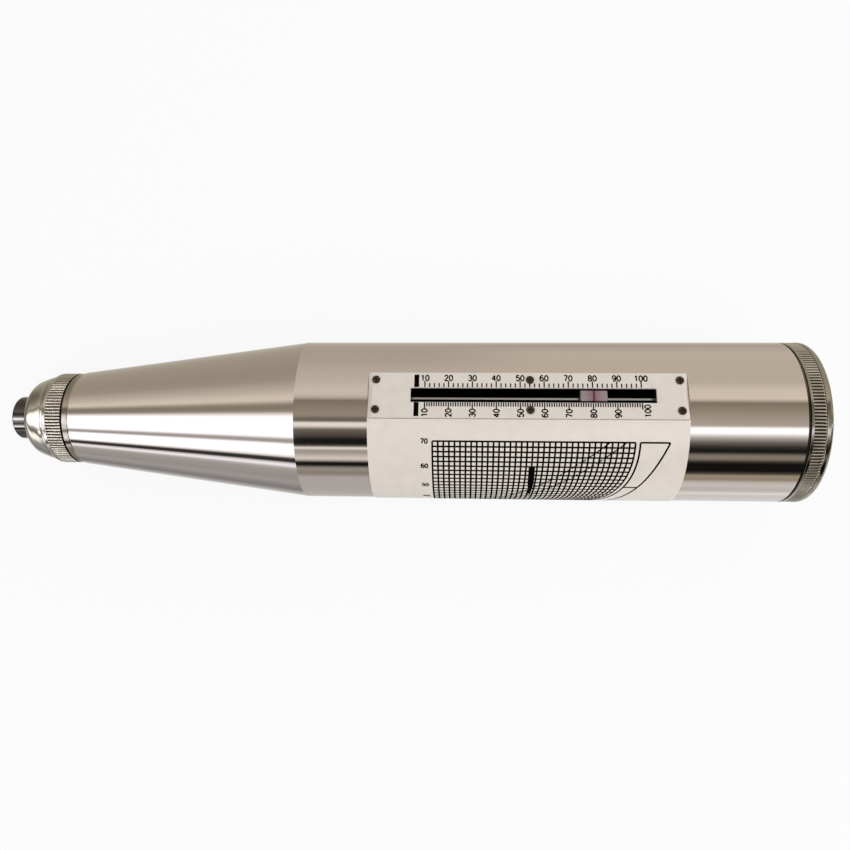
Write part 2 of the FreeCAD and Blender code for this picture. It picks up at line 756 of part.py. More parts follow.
# Return spring: pushes the guide disk forward off the rear cover.
return_length = x_rear - x_disk_back - d.spring_seat_gap
coil("return_spring", d.return_wire_radius, d.return_coil_radius, d.return_pitch, return_length,
     x=x_disk_back + d.spring_seat_gap / 2)

# Scale panel: a thin plastic plate on the flat, with a slot over the rider.
half_panel = d.panel_width / 2
panel = new_body("scale_panel", x=x_panel, height=d.tube_radius + d.flat_height)
panel_outline = new_sketch(panel, "XY_Plane", "panel_outline")
draw(panel_outline, box_corners(0, d.panel_length, -half_panel, half_panel))
panel_pad = panel.newObject("PartDesign::Pad", "panel_pad")
panel_pad.Profile = panel_outline
bind(panel_pad, "Length", d.panel_thickness)
panel.Tip = panel_pad
doc.recompute()
upright = [
    f"Edge{i + 1}" for i, edge in enumerate(panel_pad.Shape.Edges)
    if abs(edge.tangentAt(edge.FirstParameter).z) > 0.99
]
rounding = panel.newObject("PartDesign::Fillet", "panel_corners")
rounding.Base = (panel_pad, upright)
bind(rounding, "Radius", d.panel_corner_radius)
panel.Tip = rounding
slot = new_sketch(panel, "XY_Plane", "slot_outline")
slot_on_panel = d.slot_start - d.panel_start
half_width = d.slot_width / 2
draw(slot, box_corners(slot_on_panel, slot_on_panel + d.slot_length, -half_width, half_width))
pocket(panel, slot, d.panel_thickness, "slot")
panel_holes = new_sketch(panel, "XY_Plane", "panel_hole_outline")
for along in screw_places:
    for side in (-1, 1):
        draw(panel_holes, ring_of_corners(along, d.screw_spacing / 2 * side, hole_radius, 6))
pocket(panel, panel_holes, d.panel_thickness, "panel_screw_holes")

# Six small screws hold the panel down. They and their holes are drawn with few sides.
screws = []
for along in screw_places:
    for side in (-1, 1):
        head = doc.addObject("Part::Prism", "screw_head")
        head.Polygon = 12
        bind(head, "Circumradius", d.screw_head_radius)
        bind(head, "Height", d.screw_head_height)
        shank = doc.addObject("Part::Prism", "screw_shank")
        shank.Polygon = 6
        bind(shank, "Circumradius", d.screw_shank_radius)
        bind(shank, "Height", panel_top - tube_bore)
        centre = d.screw_spacing / 2 * side
        place(head, x=x_panel + along, y=centre, height=d.tube_radius + panel_top)
        place(shank, x=x_panel + along, y=centre, height=d.tube_radius + tube_bore)
        screw = doc.addObject("Part::MultiFuse", "panel_screw")
        screw.Shapes = [head, shank]
        screws.append(screw)
screw_set = doc.addObject("Part::Compound", "panel_screws")
screw_set.Label = "panel_screws"
screw_set.Links = screws

# Chart label: a thin sheet glued round the tube from the panel's edge downwards.
label = new_body("chart_label", x=x_panel, turn=d.label_start_angle)
label_outline = new_sketch(label, "XZ_Plane", "label_outline")
label_inner = d.tube_radius + d.label_glue
draw(label_outline, box_corners(0, d.panel_length, label_inner, label_inner + d.label_thickness))
label_wrap = label.newObject("PartDesign::Revolution", "label_wrap")
label_wrap.Profile = label_outline
label_wrap.ReferenceAxis = (label_outline, ["H_Axis"])
bind(label_wrap, "Angle", d.label_angle)
label.Tip = label_wrap

# Rider rod between two holders that hang under the panel, one past each end of the slot.
x_slot = x_tube + d.slot_start
x_slot_end = x_slot + d.slot_length
rod_bore = d.rod_radius + d.running_gap
holder_height = d.flat_height - d.holder_bottom
holders = []
for start in (x_slot - d.holder_length, x_slot_end):
    block = doc.addObject("Part::Box", "holder_block")
    bind(block, "Length", d.holder_length)
    bind(block, "Width", d.holder_width)
    bind(block, "Height", holder_height)
    place(block, x=start, y=-(d.holder_width / 2), height=d.tube_radius + d.holder_bottom)
    bore = doc.addObject("Part::Cylinder", "holder_bore")
    bind(bore, "Radius", rod_bore)
    bind(bore, "Height", d.holder_length * 3)
    bore.Placement = Placement(Vector(), Rotation(Vector(0, 1, 0), 90))
    bind(bore, "Placement.Base.x", start - d.holder_length)
    bind(bore, "Placement.Base.z", d.tube_radius + d.rod_height)
    holder = doc.addObject("Part::Cut", "rod_holder")
    holder.Base = block
    holder.Tool = bore
    holders.append(holder)
holder_set = doc.addObject("Part::Compound", "rod_holders")
holder_set.Label = "rod_holders"
holder_set.Links = holders
rod_inset = d.holder_length - d.holder_end_gap
rod_length = d.slot_length + rod_inset * 2
turned("rider_rod", box_corners(0, rod_length, 0, d.rod_radius),
       x=x_slot - rod_inset, height=d.tube_radius + d.rod_height)

# Rider: a clear block that slides on the rod, with a spring leaf below that the mass pushes.
x_index = x_zero + d.scale_unit * d.rider_reading
half_rider = d.rider_length / 2
rider = padded("rider_block", box_corners(-half_rider, half_rider, d.rider_bottom, d.rider_top),
               d.rider_width, role="XZ_Plane", x=x_index)
rider_bore = new_sketch(rider, "YZ_Plane", "rider_bore_outline")
draw_circle(rider_bore, 0, d.rod_height, rod_bore)
pocket(rider, rider_bore, d.rider_length * 2, "rider_bore", both=True)
leaf_back = d.leaf_offset + d.leaf_thickness
padded("rider_leaf", [
    (leaf_back - d.leaf_foot_length, d.rider_bottom - d.leaf_thickness),
    (leaf_back - d.leaf_foot_length, d.rider_bottom),
    (leaf_back, d.rider_bottom),
    (leaf_back, d.leaf_tip),
    (d.leaf_offset, d.leaf_tip),
    (d.leaf_offset, d.rider_bottom - d.leaf_thickness),
], d.leaf_width, role="XZ_Plane", x=x_index)

# Push button: a round head in a bush, with a stem through the tube and a latch plate inside that
# drops in front of the guide disk when the button is pressed. Heights are from the tool's axis.
radial = {"x": x_button, "turn": -d.button_angle}
bush_bore = d.button_radius + d.bush_bore_gap
turned("button_bush", box_corners(bush_bore, d.bush_radius, d.bush_floor, d.bush_top),
       axis="V_Axis", **radial)
head_bottom = d.button_top - d.button_head_height
turned("push_button", [
    (0, d.latch_top),
    (0, d.button_top),
    (d.button_radius - d.button_chamfer, d.button_top),
    (d.button_radius, d.button_top - d.button_chamfer),
    (d.button_radius, head_bottom),
    (d.button_stem_radius, head_bottom),
    (d.button_stem_radius, d.latch_top),
], axis="V_Axis", **radial)
half_plate = d.latch_width / 2
latch_bottom = d.latch_top - d.latch_thickness
latch_corners = box_corners(-d.latch_front_reach, d.button_centre_gap, latch_bottom, d.latch_top)
padded("button_latch", latch_corners, d.latch_width, role="XZ_Plane", **radial)
button_spring = coil("button_spring", d.button_wire_radius, d.button_coil_radius, d.button_pitch,
                     head_bottom - d.bush_floor, axis="V_Axis", **radial)
spring_sketch = button_spring.Group[0]
spring_sketch.setExpression("AttachmentOffset.Base.y", d.bush_floor.formula)

doc.recompute()

# Every object has to be sound before anything is written.
for item in doc.Objects:
    assert "Invalid" not in item.State and "Error" not in item.State, f"{item.Label} {item.State}"
pieces = [item for item in doc.Objects if item.TypeId == "PartDesign::Body"] + [screw_set, holder_set]
for piece in pieces:
    assert not piece.Shape.isNull() and piece.Shape.isValid(), piece.Label

os.makedirs("parts", exist_ok=True)
for piece in pieces:
    piece.Shape.exportStep(f"parts/{piece.Label}.step")
print(len(pieces), "pieces written")
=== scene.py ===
import math

import bmesh
import bpy
import numpy as np
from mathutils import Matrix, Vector


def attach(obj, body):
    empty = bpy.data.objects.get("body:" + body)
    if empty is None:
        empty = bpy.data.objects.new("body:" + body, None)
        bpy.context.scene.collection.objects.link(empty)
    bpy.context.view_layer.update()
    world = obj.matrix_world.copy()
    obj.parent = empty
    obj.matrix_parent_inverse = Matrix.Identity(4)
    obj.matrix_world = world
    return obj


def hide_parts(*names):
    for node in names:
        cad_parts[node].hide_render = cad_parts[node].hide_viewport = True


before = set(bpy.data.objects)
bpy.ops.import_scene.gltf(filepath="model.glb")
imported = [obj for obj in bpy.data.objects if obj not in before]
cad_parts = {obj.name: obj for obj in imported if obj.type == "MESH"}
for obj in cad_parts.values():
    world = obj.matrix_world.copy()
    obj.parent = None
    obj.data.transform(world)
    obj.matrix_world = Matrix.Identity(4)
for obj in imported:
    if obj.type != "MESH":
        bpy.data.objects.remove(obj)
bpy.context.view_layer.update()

# The studio: a plain white table, a long soft lamp over the chart side of the tool and a weaker
# one behind. Polished metal mirrors the room instead, whose walls, windows and curtains lie in
# bands round the tool. The camera stands nearly overhead, leaning to the chart side.
MM = 0.001
AXIS = 27.0


def new_material(name):
    """An empty node material with its output node."""
    material = bpy.data.materials.new(name)
    material.use_nodes = True
    tree = material.node_tree
    tree.nodes.clear()
    return material, tree, tree.nodes.new("ShaderNodeOutputMaterial")


def calc(tree, operation, first, second=0.0, third=0.0):
    """One Math node; an input is a number or another node's output."""
    node = tree.nodes.new("ShaderNodeMath")
    node.operation = operation
    for socket, value in zip(node.inputs, (first, second, third)):
        if isinstance(value, (int, float)):
            socket.default_value = value
        else:
            tree.links.new(value, socket)
    return node.outputs[0]


def ramp(tree, factor, stops, blending="LINEAR"):
    """A colour ramp through (place, colour) stops."""
    node = tree.nodes.new("ShaderNodeValToRGB")
    node.color_ramp.interpolation = blending
    bands = node.color_ramp.elements
    while len(bands) < len(stops):
        bands.new(0.5)
    for band, (place, tone) in zip(bands, sorted(stops, key=lambda stop: stop[0])):
        band.position = place
        band.color = tone
    tree.links.new(factor, node.inputs[0])
    return node.outputs[0]


def room_tones(stops):
    """Ramp stops of the room's bands from (angle, light, warmth): the angle goes round the tool from
    straight up towards the chart, and warmth takes blue away from the light and adds red."""
    return [
        ((angle + 180) / 360, (light * (1 + warmth / 2), light, light * (1 - warmth), 1.0))
        for angle, light, warmth in stops
    ]


# The room that polished metal mirrors: beige walls away from the chart, a window strip, dark
# curtains and the white table. The tube's rear and front, the nose and the dome each look at
# another part of it, and two strip lamps stand ahead of the nose.
REAR_BANDS = room_tones([
    (-180, 0.80, 0.08), (-126, 0.55, 0.15), (-98, 0.82, 0.15), (-40, 0.83, 0.14), (-28, 1.04, 0.12),
    (-15, 1.10, 0.14), (-9, 0.34, 0.22), (2, 0.47, 0.20), (23, 0.72, 0.10), (27, 2.3, -0.1),
    (32, 2.3, -0.1), (36.5, 1.25, 0.0), (40, 0.70, 0.0), (46, 0.24, 0.04), (52, 0.07, 0.15),
    (57, 0.018, 0.0), (61, 0.03, 0.1), (64.6, 0.30, 0.12), (68, 0.39, 0.2), (71, 0.33, 0.2),
    (74.4, 0.09, 0.15), (78, 0.012, 0.0), (91, 0.012, 0.0), (95.5, 0.12, 0.2), (99.4, 0.53, 0.24),
    (107, 0.44, 0.2), (111.7, 0.86, 0.08), (118, 1.04, 0.0), (131, 0.86, 0.0), (143, 1.3, 0.0),
    (147, 1.0, 0.0), (180, 0.85, 0.02),
])
FRONT_BANDS = room_tones([
    (-180, 0.70, 0.05), (-126, 0.60, 0.15), (-80, 0.70, 0.12), (-40, 0.88, 0.12), (-25, 1.02, 0.12),
    (-17, 0.95, 0.12), (-12.5, 0.62, 0.14), (-10, 0.32, 0.20), (2, 0.43, 0.18), (11, 0.48, 0.18),
    (14, 0.35, 0.2), (17.5, 0.20, 0.2), (20, 0.32, 0.1), (22.5, 1.4, 0.06), (26.5, 1.4, 0.04),
    (29, 0.75, 0.10), (31.5, 0.24, 0.15), (41, 0.10, 0.15), (46, 0.016, 0.1), (53, 0.02, 0.1),
    (56, 0.19, 0.05), (59, 1.5, 0.02), (62.5, 0.60, 0.05), (66, 0.62, 0.1), (75.6, 1.2, 0.05),
    (79, 0.68, 0.06), (82, 0.02, 0.0), (87, 0.007, 0.0), (93, 0.52, 0.1), (103, 0.41, 0.14),
    (111, 0.75, 0.02), (180, 0.68, 0.0),
])
NOSE_BANDS = room_tones([
    (-180, 0.70, 0.05), (-117, 0.58, 0.15), (-60, 0.52, 0.17), (-46, 0.56, 0.16), (-28, 0.84, 0.13),
    (-18, 1.06, 0.12), (-12.5, 1.1, 0.12), (-8.5, 0.72, 0.15), (-4.5, 0.41, 0.2), (1, 0.38, 0.2),
    (5.5, 0.50, 0.12), (10, 1.4, 0.0), (15, 2.3, -0.1), (44, 2.2, -0.1), (49, 0.66, 0.05),
    (53, 0.60, 0.05), (57, 2.2, -0.1), (72, 2.3, -0.1), (77, 1.4, 0.0), (80, 0.07, 0.0),
    (86, 0.04, 0.0), (89, 1.2, -0.05), (93, 1.8, -0.1), (98, 0.80, 0.0), (103, 0.62, 0.0),
    (119, 0.54, 0.0), (130, 0.62, -0.02), (143, 0.42, -0.02), (151, 0.36, 0.0), (160, 0.50, 0.0),
    (180, 0.8, 0.0),
])
STRIP_LAMPS = room_tones([
    (-180, 0.0, 0.0), (18, 0.0, 0.0), (20, 8.5, 0.0), (32, 8.5, 0.0), (34, 0.0, 0.0),
    (62, 0.0, 0.0), (64, 8.5, 0.0), (71, 8.5, 0.0), (73, 0.0, 0.0), (180, 0.0, 0.0),
])
DOME_BANDS = room_tones([
    (-180, 0.40, 0.05), (-100, 0.30, 0.2), (-74, 0.27, 0.2), (-56, 0.36, 0.2), (-39, 0.60, 0.15),
    (-27, 0.85, 0.12), (-18, 0.50, 0.15), (-14, 0.45, 0.1), (-9, 1.3, 0.05), (-3, 2.2, 0.0),
    (8, 2.8, -0.1), (50, 2.8, -0.1), (58, 1.6, 0.0), (64, 0.70, 0.0), (76, 0.30, 0.0),
    (83, 0.46, 0.0), (90, 2.0, 0.0), (99, 2.5, 0.0), (109, 2.2, 0.0), (119, 0.80, 0.0),
    (130, 0.55, 0.0), (180, 0.45, 0.0),
])
# Where along the tool a mirrored direction passes from one part of the room to the next: the
# direction's x at which the next part starts and at which it is full.
FRONT_REACH = (0.10, -0.06)
NOSE_REACH = (-0.24, -0.30)
STRIP_REACH = (-0.520, -0.530)
DOME_REACH = (-0.74, -0.84)

world = bpy.data.worlds.new("white_room")
bpy.context.scene.world = world
world.use_nodes = True
sky = world.node_tree
sky.nodes.clear()
sky_out = sky.nodes.new("ShaderNodeOutputWorld")
direction = sky.nodes.new("ShaderNodeSeparateXYZ")
sky.links.new(sky.nodes.new("ShaderNodeTexCoord").outputs["Generated"], direction.inputs[0])
to_chart = calc(sky, "MULTIPLY", direction.outputs["Y"], -1.0)
around = calc(sky, "ARCTAN2", to_chart, direction.outputs["Z"])
turn_share = calc(sky, "MULTIPLY_ADD", around, 1 / (2 * math.pi), 0.5)


def share_between(ends):
    """How far the direction's x has gone from the first end to the second, held to 0 and 1."""
    node = sky.nodes.new("ShaderNodeMapRange")
    sky.links.new(direction.outputs["X"], node.inputs["Value"])
    node.inputs["From Min"].default_value, node.inputs["From Max"].default_value = ends
    return node.outputs[0]


def blend(share, first, second, kind="MIX"):
    """The second colour where the share is one, or for ADD both colours there. The node's colour
    sockets are its sixth and seventh."""
    node = sky.nodes.new("ShaderNodeMix")
    node.data_type = "RGBA"
    node.blend_type = kind
    for place, source in ((0, share), (6, first), (7, second)):
        sky.links.new(source, node.inputs[place])
    return node.outputs[2]


rear, front, nose, strips, dome = (
    ramp(sky, turn_share, bands) for bands in (REAR_BANDS, FRONT_BANDS, NOSE_BANDS, STRIP_LAMPS, DOME_BANDS)
)
tube_light = blend(share_between(FRONT_REACH), rear, front)
nose_light = blend(share_between(STRIP_REACH), nose, strips, "ADD")
nose_light = blend(share_between(DOME_REACH), nose_light, dome)
room_light = blend(share_between(NOSE_REACH), tube_light, nose_light)
rays = sky.nodes.new("ShaderNodeLightPath")
seen = calc(sky, "MAXIMUM", rays.outputs["Is Camera Ray"], rays.outputs["Is Transmission Ray"])


def background(light):
    """A background of plain light, or of another node's colour."""
    node = sky.nodes.new("ShaderNodeBackground")
    if isinstance(light, float):
        node.inputs["Color"].default_value = (light, light, light, 1.0)
    else:
        sky.links.new(light, node.inputs["Color"])
    return node.outputs[0]


def choose(share, first, second):
    """The second light where the share is one."""
    node = sky.nodes.new("ShaderNodeMixShader")
    for socket, source in zip(node.inputs, (share, first, second)):
        sky.links.new(source, socket)
    return node.outputs[0]


ROOM_LIGHT = 0.42
lit = choose(rays.outputs["Is Glossy Ray"], background(ROOM_LIGHT), background(room_light))
sky.links.new(choose(seen, lit, background(1.0)), sky_out.inputs["Surface"])

TABLE_SIZE = 6.0
TABLE_DROP = 0.0002
TABLE_GLOW = 0.88
table_mesh = bpy.data.meshes.new("table")
half = TABLE_SIZE / 2
corners = [(-half, -half), (half, -half), (half, half), (-half, half)]
table_mesh.from_pydata([(x, y, -TABLE_DROP) for x, y in corners], [], [(0, 1, 2, 3)])
table = bpy.data.objects.new("table", table_mesh)
bpy.context.collection.objects.link(table)
table.visible_glossy = False
# The table glows white to the camera and through clear plastic, so that it stays as plain as the
# photo's ground, and takes the tool's soft shadow.
table_white, tree, out = new_material("table_white")
paper = tree.nodes.new("ShaderNodeBsdfDiffuse")
paper.inputs["Color"].default_value = (0.85, 0.85, 0.85, 1.0)
glow = tree.nodes.new("ShaderNodeEmission")
glow.inputs["Color"].default_value = (1.0, 1.0, 1.0, 1.0)
path = tree.nodes.new("ShaderNodeLightPath")
direct = calc(tree, "MAXIMUM", path.outputs["Is Camera Ray"], path.outputs["Is Transmission Ray"])
mix = tree.nodes.new("ShaderNodeMixShader")
tree.links.new(calc(tree, "MULTIPLY", direct, TABLE_GLOW), mix.inputs[0])
tree.links.new(paper.outputs[0], mix.inputs[1])
tree.links.new(glow.outputs[0], mix.inputs[2])
tree.links.new(mix.outputs[0], out.inputs["Surface"])
table_mesh.materials.append(table_white)


def soft_lamp(name, place, size, power):
    """A rectangular lamp that faces the tool. Metal shows the room's bands in its stead."""
    light = bpy.data.lights.new(name, "AREA")
    light.shape = "RECTANGLE"
    light.size, light.size_y = size
    light.energy = power
    lamp = bpy.data.objects.new(name, light)
    lamp.location = place
    lamp.rotation_euler = (-Vector(place)).to_track_quat("-Z", "Y").to_euler()
    lamp.visible_glossy = False
    bpy.context.collection.objects.link(lamp)


LAMP_SIZE = (2.2, 0.6)
soft_lamp("long_lamp", place=(0.60, -0.62, 1.00), size=LAMP_SIZE, power=13.0)
soft_lamp("fill_lamp", place=(0.0, 0.9, 0.8), size=LAMP_SIZE, power=3.0)

CAMERA_PLACE = (24.5, -76.59, 269.08)
CAMERA_TURN = (17.213, 3.056, 1.347)
LENS = 30.706
SENSOR = 36.0
view = bpy.data.cameras.new("camera")
view.lens = LENS
view.sensor_width = SENSOR
view.clip_start = 0.01
camera = bpy.data.objects.new("camera", view)
camera.location = [value * MM for value in CAMERA_PLACE]
camera.rotation_euler = [math.radians(value) for value in CAMERA_TURN]
bpy.context.collection.objects.link(camera)
bpy.context.scene.camera = camera
bpy.context.scene.view_settings.view_transform = "Standard"

# Housing: one shell turned from light alloy and polished, a cone and a parallel tube. A flat is
# milled on top for the scale panel, with an opening over the rider's rod.
METAL_TONE = (0.53, 0.475, 0.44)
LIP_TONE = (0.30, 0.27, 0.225)
COLUMNS = 360
TUBE_RADIUS = 27.0
FLAT_HEIGHT = 25.85
FLAT_ENDS = (-7.0, 93.0)
OPENING_ENDS = (1.3, 88.5)
OPENING_HALF = 3.6
BORE_RADIUS = 24.5
FRONT_PROFILE = [
    (-121.2, 12.3), (-113.2, 12.3), (-113.2, 15.2), (-112.95, 15.2), (-112.9, 15.75), (-112.7, 15.95),
    (-111.0, 15.95), (-110.8, 15.8), (-110.6, 15.8), (-110.45, 16.25), (-110.3, 16.38), (-30.6, 27.0),
]
JOINT_ROWS = 4
LIP_ROWS = 8
INNER_FRONT = [(-30.6, 24.5), (-108.2, 14.6), (-108.2, 10.95), (-121.2, 10.95)]
TUBE_END = 128.95
REAR_GROOVE = [(-0.55, 27.0), (-0.45, 26.7), (0.0, 26.3)]
THREAD_RADIUS = 25.2
THREAD_LENGTH = 8.0
COSINE_FLOOR = 0.1
ANGLE_SLACK = 1e-6
RING_PITCHES = (0.0009, 0.00023)
RING_SHARE = 0.65
CLOUD_SHARE = 0.175
GLOSS_SWING = 0.06
WELD = 1e-7
SPECK = 1e-8


def split_place(tree):
    """A piece's own coordinates, split into X, Y and Z."""
    split = tree.nodes.new("ShaderNodeSeparateXYZ")
    tree.links.new(tree.nodes.new("ShaderNodeTexCoord").outputs["Object"], split.inputs[0])
    return split.outputs


def turned_metal(name, tone, roughness, line_depth=0.025):
    """Lathe-turned metal: fine rings along the tool's axis, from one-dimensional noise of x, shade
    the colour and the gloss a little, and slow clouds of noise leave faint handling marks."""
    material, tree, out = new_material(name)
    metal = tree.nodes.new("ShaderNodeBsdfPrincipled")
    metal.inputs["Metallic"].default_value = 1.0
    along = split_place(tree)["X"]
    rings = []
    for pitch in RING_PITCHES:
        noise = tree.nodes.new("ShaderNodeTexNoise")
        noise.noise_dimensions = "1D"
        noise.inputs["Scale"].default_value = 1 / pitch
        noise.inputs["Detail"].default_value = 2.0
        tree.links.new(along, noise.inputs["W"])
        rings.append(noise.outputs[0])
    ring = calc(tree, "MULTIPLY_ADD", rings[1], 0.5, calc(tree, "MULTIPLY", rings[0], 0.5))
    clouds = tree.nodes.new("ShaderNodeTexNoise")
    clouds.inputs["Scale"].default_value = 45.0
    clouds.inputs["Detail"].default_value = 4.0
    tree.links.new(tree.nodes.new("ShaderNodeTexCoord").outputs["Object"], clouds.inputs["Vector"])
    ring_shade = calc(tree, "MULTIPLY", ring, RING_SHARE)
    shade = calc(tree, "MULTIPLY_ADD", clouds.outputs[0], CLOUD_SHARE, ring_shade)
    dark = [value * (1 - line_depth) for value in tone]
    light = [min(value * (1 + line_depth), 1.0) for value in tone]
    tree.links.new(ramp(tree, shade, [(0.25, (*dark, 1)), (0.65, (*light, 1))]), metal.inputs["Base Color"])
    gloss = calc(tree, "MULTIPLY_ADD", shade, GLOSS_SWING, roughness - GLOSS_SWING / 2)
    tree.links.new(gloss, metal.inputs["Roughness"])
    bump = tree.nodes.new("ShaderNodeBump")
    bump.inputs["Strength"].default_value = 0.05
    bump.inputs["Distance"].default_value = 0.00001
    tree.links.new(ring, bump.inputs["Height"])
    tree.links.new(bump.outputs[0], metal.inputs["Normal"])
    tree.links.new(metal.outputs[0], out.inputs["Surface"])
    return material


def grid_faces(keep):
    """Quads between the neighbouring points of a grid, where keep is true."""
    rows, columns = keep.shape
    corner = np.arange(rows * (columns + 1)).reshape(rows, columns + 1)[:, :-1]
    quads = np.stack([corner, corner + 1, corner + columns + 2, corner + columns + 1], axis=-1)
    return quads[keep]


def build(name, grids, materials, body, replaced=(), sharp=6.0):
    """One piece from grids of points in millimetres, each (points, keep mask or None, material
    number), welded where they meet, facing outwards, with the creases kept sharp."""
    points, faces, tones, start = [], [], [], 0
    for grid, keep, number in grids:
        rows, columns = grid.shape[:2]
        mask = np.ones((rows - 1, columns - 1), bool) if keep is None else keep
        quads = grid_faces(mask) + start
        points.append(grid.reshape(-1, 3))
        faces.append(quads)
        tones.append(np.full(len(quads), number))
        start += rows * columns
    mesh = bpy.data.meshes.new(name)
    mesh.from_pydata((np.concatenate(points) * MM).tolist(), [], np.concatenate(faces).tolist())
    mesh.polygons.foreach_set("material_index", np.concatenate(tones).astype(np.int32))
    finish_piece(name, mesh, materials, body, replaced, sharp)


def finish_piece(name, mesh, materials, body, replaced=(), sharp=6.0):
    """Welds the mesh, turns its faces outwards, marks creases, and fixes it to its body."""
    work = bmesh.new()
    work.from_mesh(mesh)
    bmesh.ops.remove_doubles(work, verts=work.verts, dist=WELD)
    bmesh.ops.dissolve_degenerate(work, edges=work.edges, dist=SPECK)
    loose = [vert for vert in work.verts if not vert.link_faces]
    bmesh.ops.delete(work, geom=loose, context="VERTS")
    bmesh.ops.recalc_face_normals(work, faces=work.faces)
    work.to_mesh(mesh)
    work.free()
    mesh.polygons.foreach_set("use_smooth", np.ones(len(mesh.polygons), bool))
    mesh.set_sharp_from_angle(angle=math.radians(sharp))
    for material in materials:
        mesh.materials.append(material)
    piece = bpy.data.objects.new(name, mesh)
    bpy.context.collection.objects.link(piece)
    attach(piece, body)
    if replaced:
        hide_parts(*replaced)


def around_axis(along, radius, angle):
    """Points at a distance along the tool, a radius from its axis and an angle from straight up
    towards +Y: y = radius sin(angle), z = axis height + radius cos(angle)."""
    along, radius, angle = np.broadcast_arrays(along, radius, angle)
    return np.stack([along, radius * np.sin(angle), AXIS + radius * np.cos(angle)], axis=-1)


def joint_metal(name, unshaded, painted_shade_tone):
    """A narrow groove's metal with painted shade: the given tone on the side away from the chart, and
    near-black painted shade on the chart side, blended by the distance across the tool."""
    material = turned_metal(name, unshaded, roughness=0.30)
    tree = material.node_tree
    across = calc(tree, "MULTIPLY_ADD", split_place(tree)["Y"], 0.5 / (TUBE_RADIUS * MM), 0.5)
    tones = [(0.45, (*painted_shade_tone, 1)), (0.70, (*unshaded, 1))]
    tree.links.new(ramp(tree, across, tones), tree.nodes["Principled BSDF"].inputs["Base Color"])
    return material


bright_metal = turned_metal("bright_metal", METAL_TONE, roughness=0.06)
# The bore and the walls of the opening are painted near-black: painted shade for the inside of the tube.
bore_painted_shade = turned_metal("bore_painted_shade", (0.020, 0.020, 0.022), roughness=0.55)
# The groove metal carries painted shade: near-black on the chart side, where the joints lie in shadow.
joint_painted_shade = joint_metal("joint_painted_shade", (0.30, 0.27, 0.22), (0.05, 0.045, 0.04))
rubbed_lip = turned_metal("rubbed_lip", LIP_TONE, roughness=0.10)

# One closed profile: the outside from nose to rear, then the bore back to the nose. Columns stand
# on the edges of the flat and of the opening, where the quads of both walls are left out.
flat_edge = math.acos(FLAT_HEIGHT / TUBE_RADIUS)
opening_edge = math.atan(OPENING_HALF / FLAT_HEIGHT)
bore_edge = math.asin(OPENING_HALF / BORE_RADIUS)
angles = np.linspace(-math.pi, math.pi, COLUMNS + 1)
angles = np.unique(np.append(angles, [-flat_edge, flat_edge, -opening_edge, opening_edge]))
bore_angles = np.interp(
    angles,
    [-math.pi, -flat_edge, -opening_edge, opening_edge, flat_edge, math.pi],
    [-math.pi, -flat_edge, -bore_edge, bore_edge, flat_edge, math.pi],
)
outer = FRONT_PROFILE + [(FLAT_ENDS[0], TUBE_RADIUS)]
on_flat = [(x, TUBE_RADIUS) for x in (FLAT_ENDS[0], *OPENING_ENDS, FLAT_ENDS[1])]
behind = [(FLAT_ENDS[1], TUBE_RADIUS)] + [(TUBE_END + x, reach) for x, reach in REAR_GROOVE]
inner = [
    (TUBE_END, THREAD_RADIUS), (TUBE_END - THREAD_LENGTH, THREAD_RADIUS),
    (TUBE_END - THREAD_LENGTH, BORE_RADIUS), (OPENING_ENDS[1], BORE_RADIUS), (OPENING_ENDS[0], BORE_RADIUS),
] + INNER_FRONT
profile = np.array(outer + on_flat + behind + inner + outer[:1])
along, radius = profile[:, :1], np.repeat(profile[:, 1:], len(angles), axis=1)
first_flat = len(outer)
flat_rows = slice(first_flat, first_flat + len(on_flat))
flat_limit = FLAT_HEIGHT / np.maximum(np.cos(angles), COSINE_FLOOR)
radius[flat_rows] = np.minimum(radius[flat_rows], flat_limit)
first_inner = len(outer) + len(on_flat) + len(behind)
rear_groove = first_inner - 2
inner_rows = slice(first_inner, first_inner + len(inner))
row_angles = np.tile(angles, (len(profile), 1))
row_angles[inner_rows] = bore_angles
shell = around_axis(along, radius, row_angles)
reach = opening_edge + ANGLE_SLACK
in_opening = (angles[:-1] > -reach) & (angles[1:] < reach)
keep = np.ones((len(profile) - 1, len(angles) - 1), bool)
open_row, bore_row = first_flat + 1, first_inner + 3
keep[open_row, in_opening] = False
keep[bore_row, in_opening] = False
border = slice(np.argmax(in_opening), np.argmax(in_opening) + in_opening.sum() + 1)
wall_pairs = [
    np.stack([shell[open_row, border], shell[bore_row + 1, border]]),
    np.stack([shell[open_row + 1, border], shell[bore_row, border]]),
]
for side in (border.start, border.stop - 1):
    wall_pairs.append(np.stack([shell[open_row:open_row + 2, side], shell[[bore_row + 1, bore_row], side]]))
# Material 2, the front joint and the rear groove, is the groove metal with painted shade on the chart side.
build(
    "housing_shell",
    [(shell[:JOINT_ROWS], keep[:JOINT_ROWS - 1], 2)]
    + [(shell[JOINT_ROWS - 1:LIP_ROWS], keep[JOINT_ROWS - 1:LIP_ROWS - 1], 3)]
    + [(shell[LIP_ROWS - 1:rear_groove], keep[LIP_ROWS - 1:rear_groove - 1], 0)]
    + [(shell[rear_groove - 1:first_inner - 1], keep[rear_groove - 1:first_inner - 2], 2)]
    + [(shell[first_inner - 2:], keep[first_inner - 2:], 1)]
    + [(wall, None, 1) for wall in wall_pairs],
    [bright_metal, bore_painted_shade, joint_painted_shade, rubbed_lip], "casing", ["housing"],
)

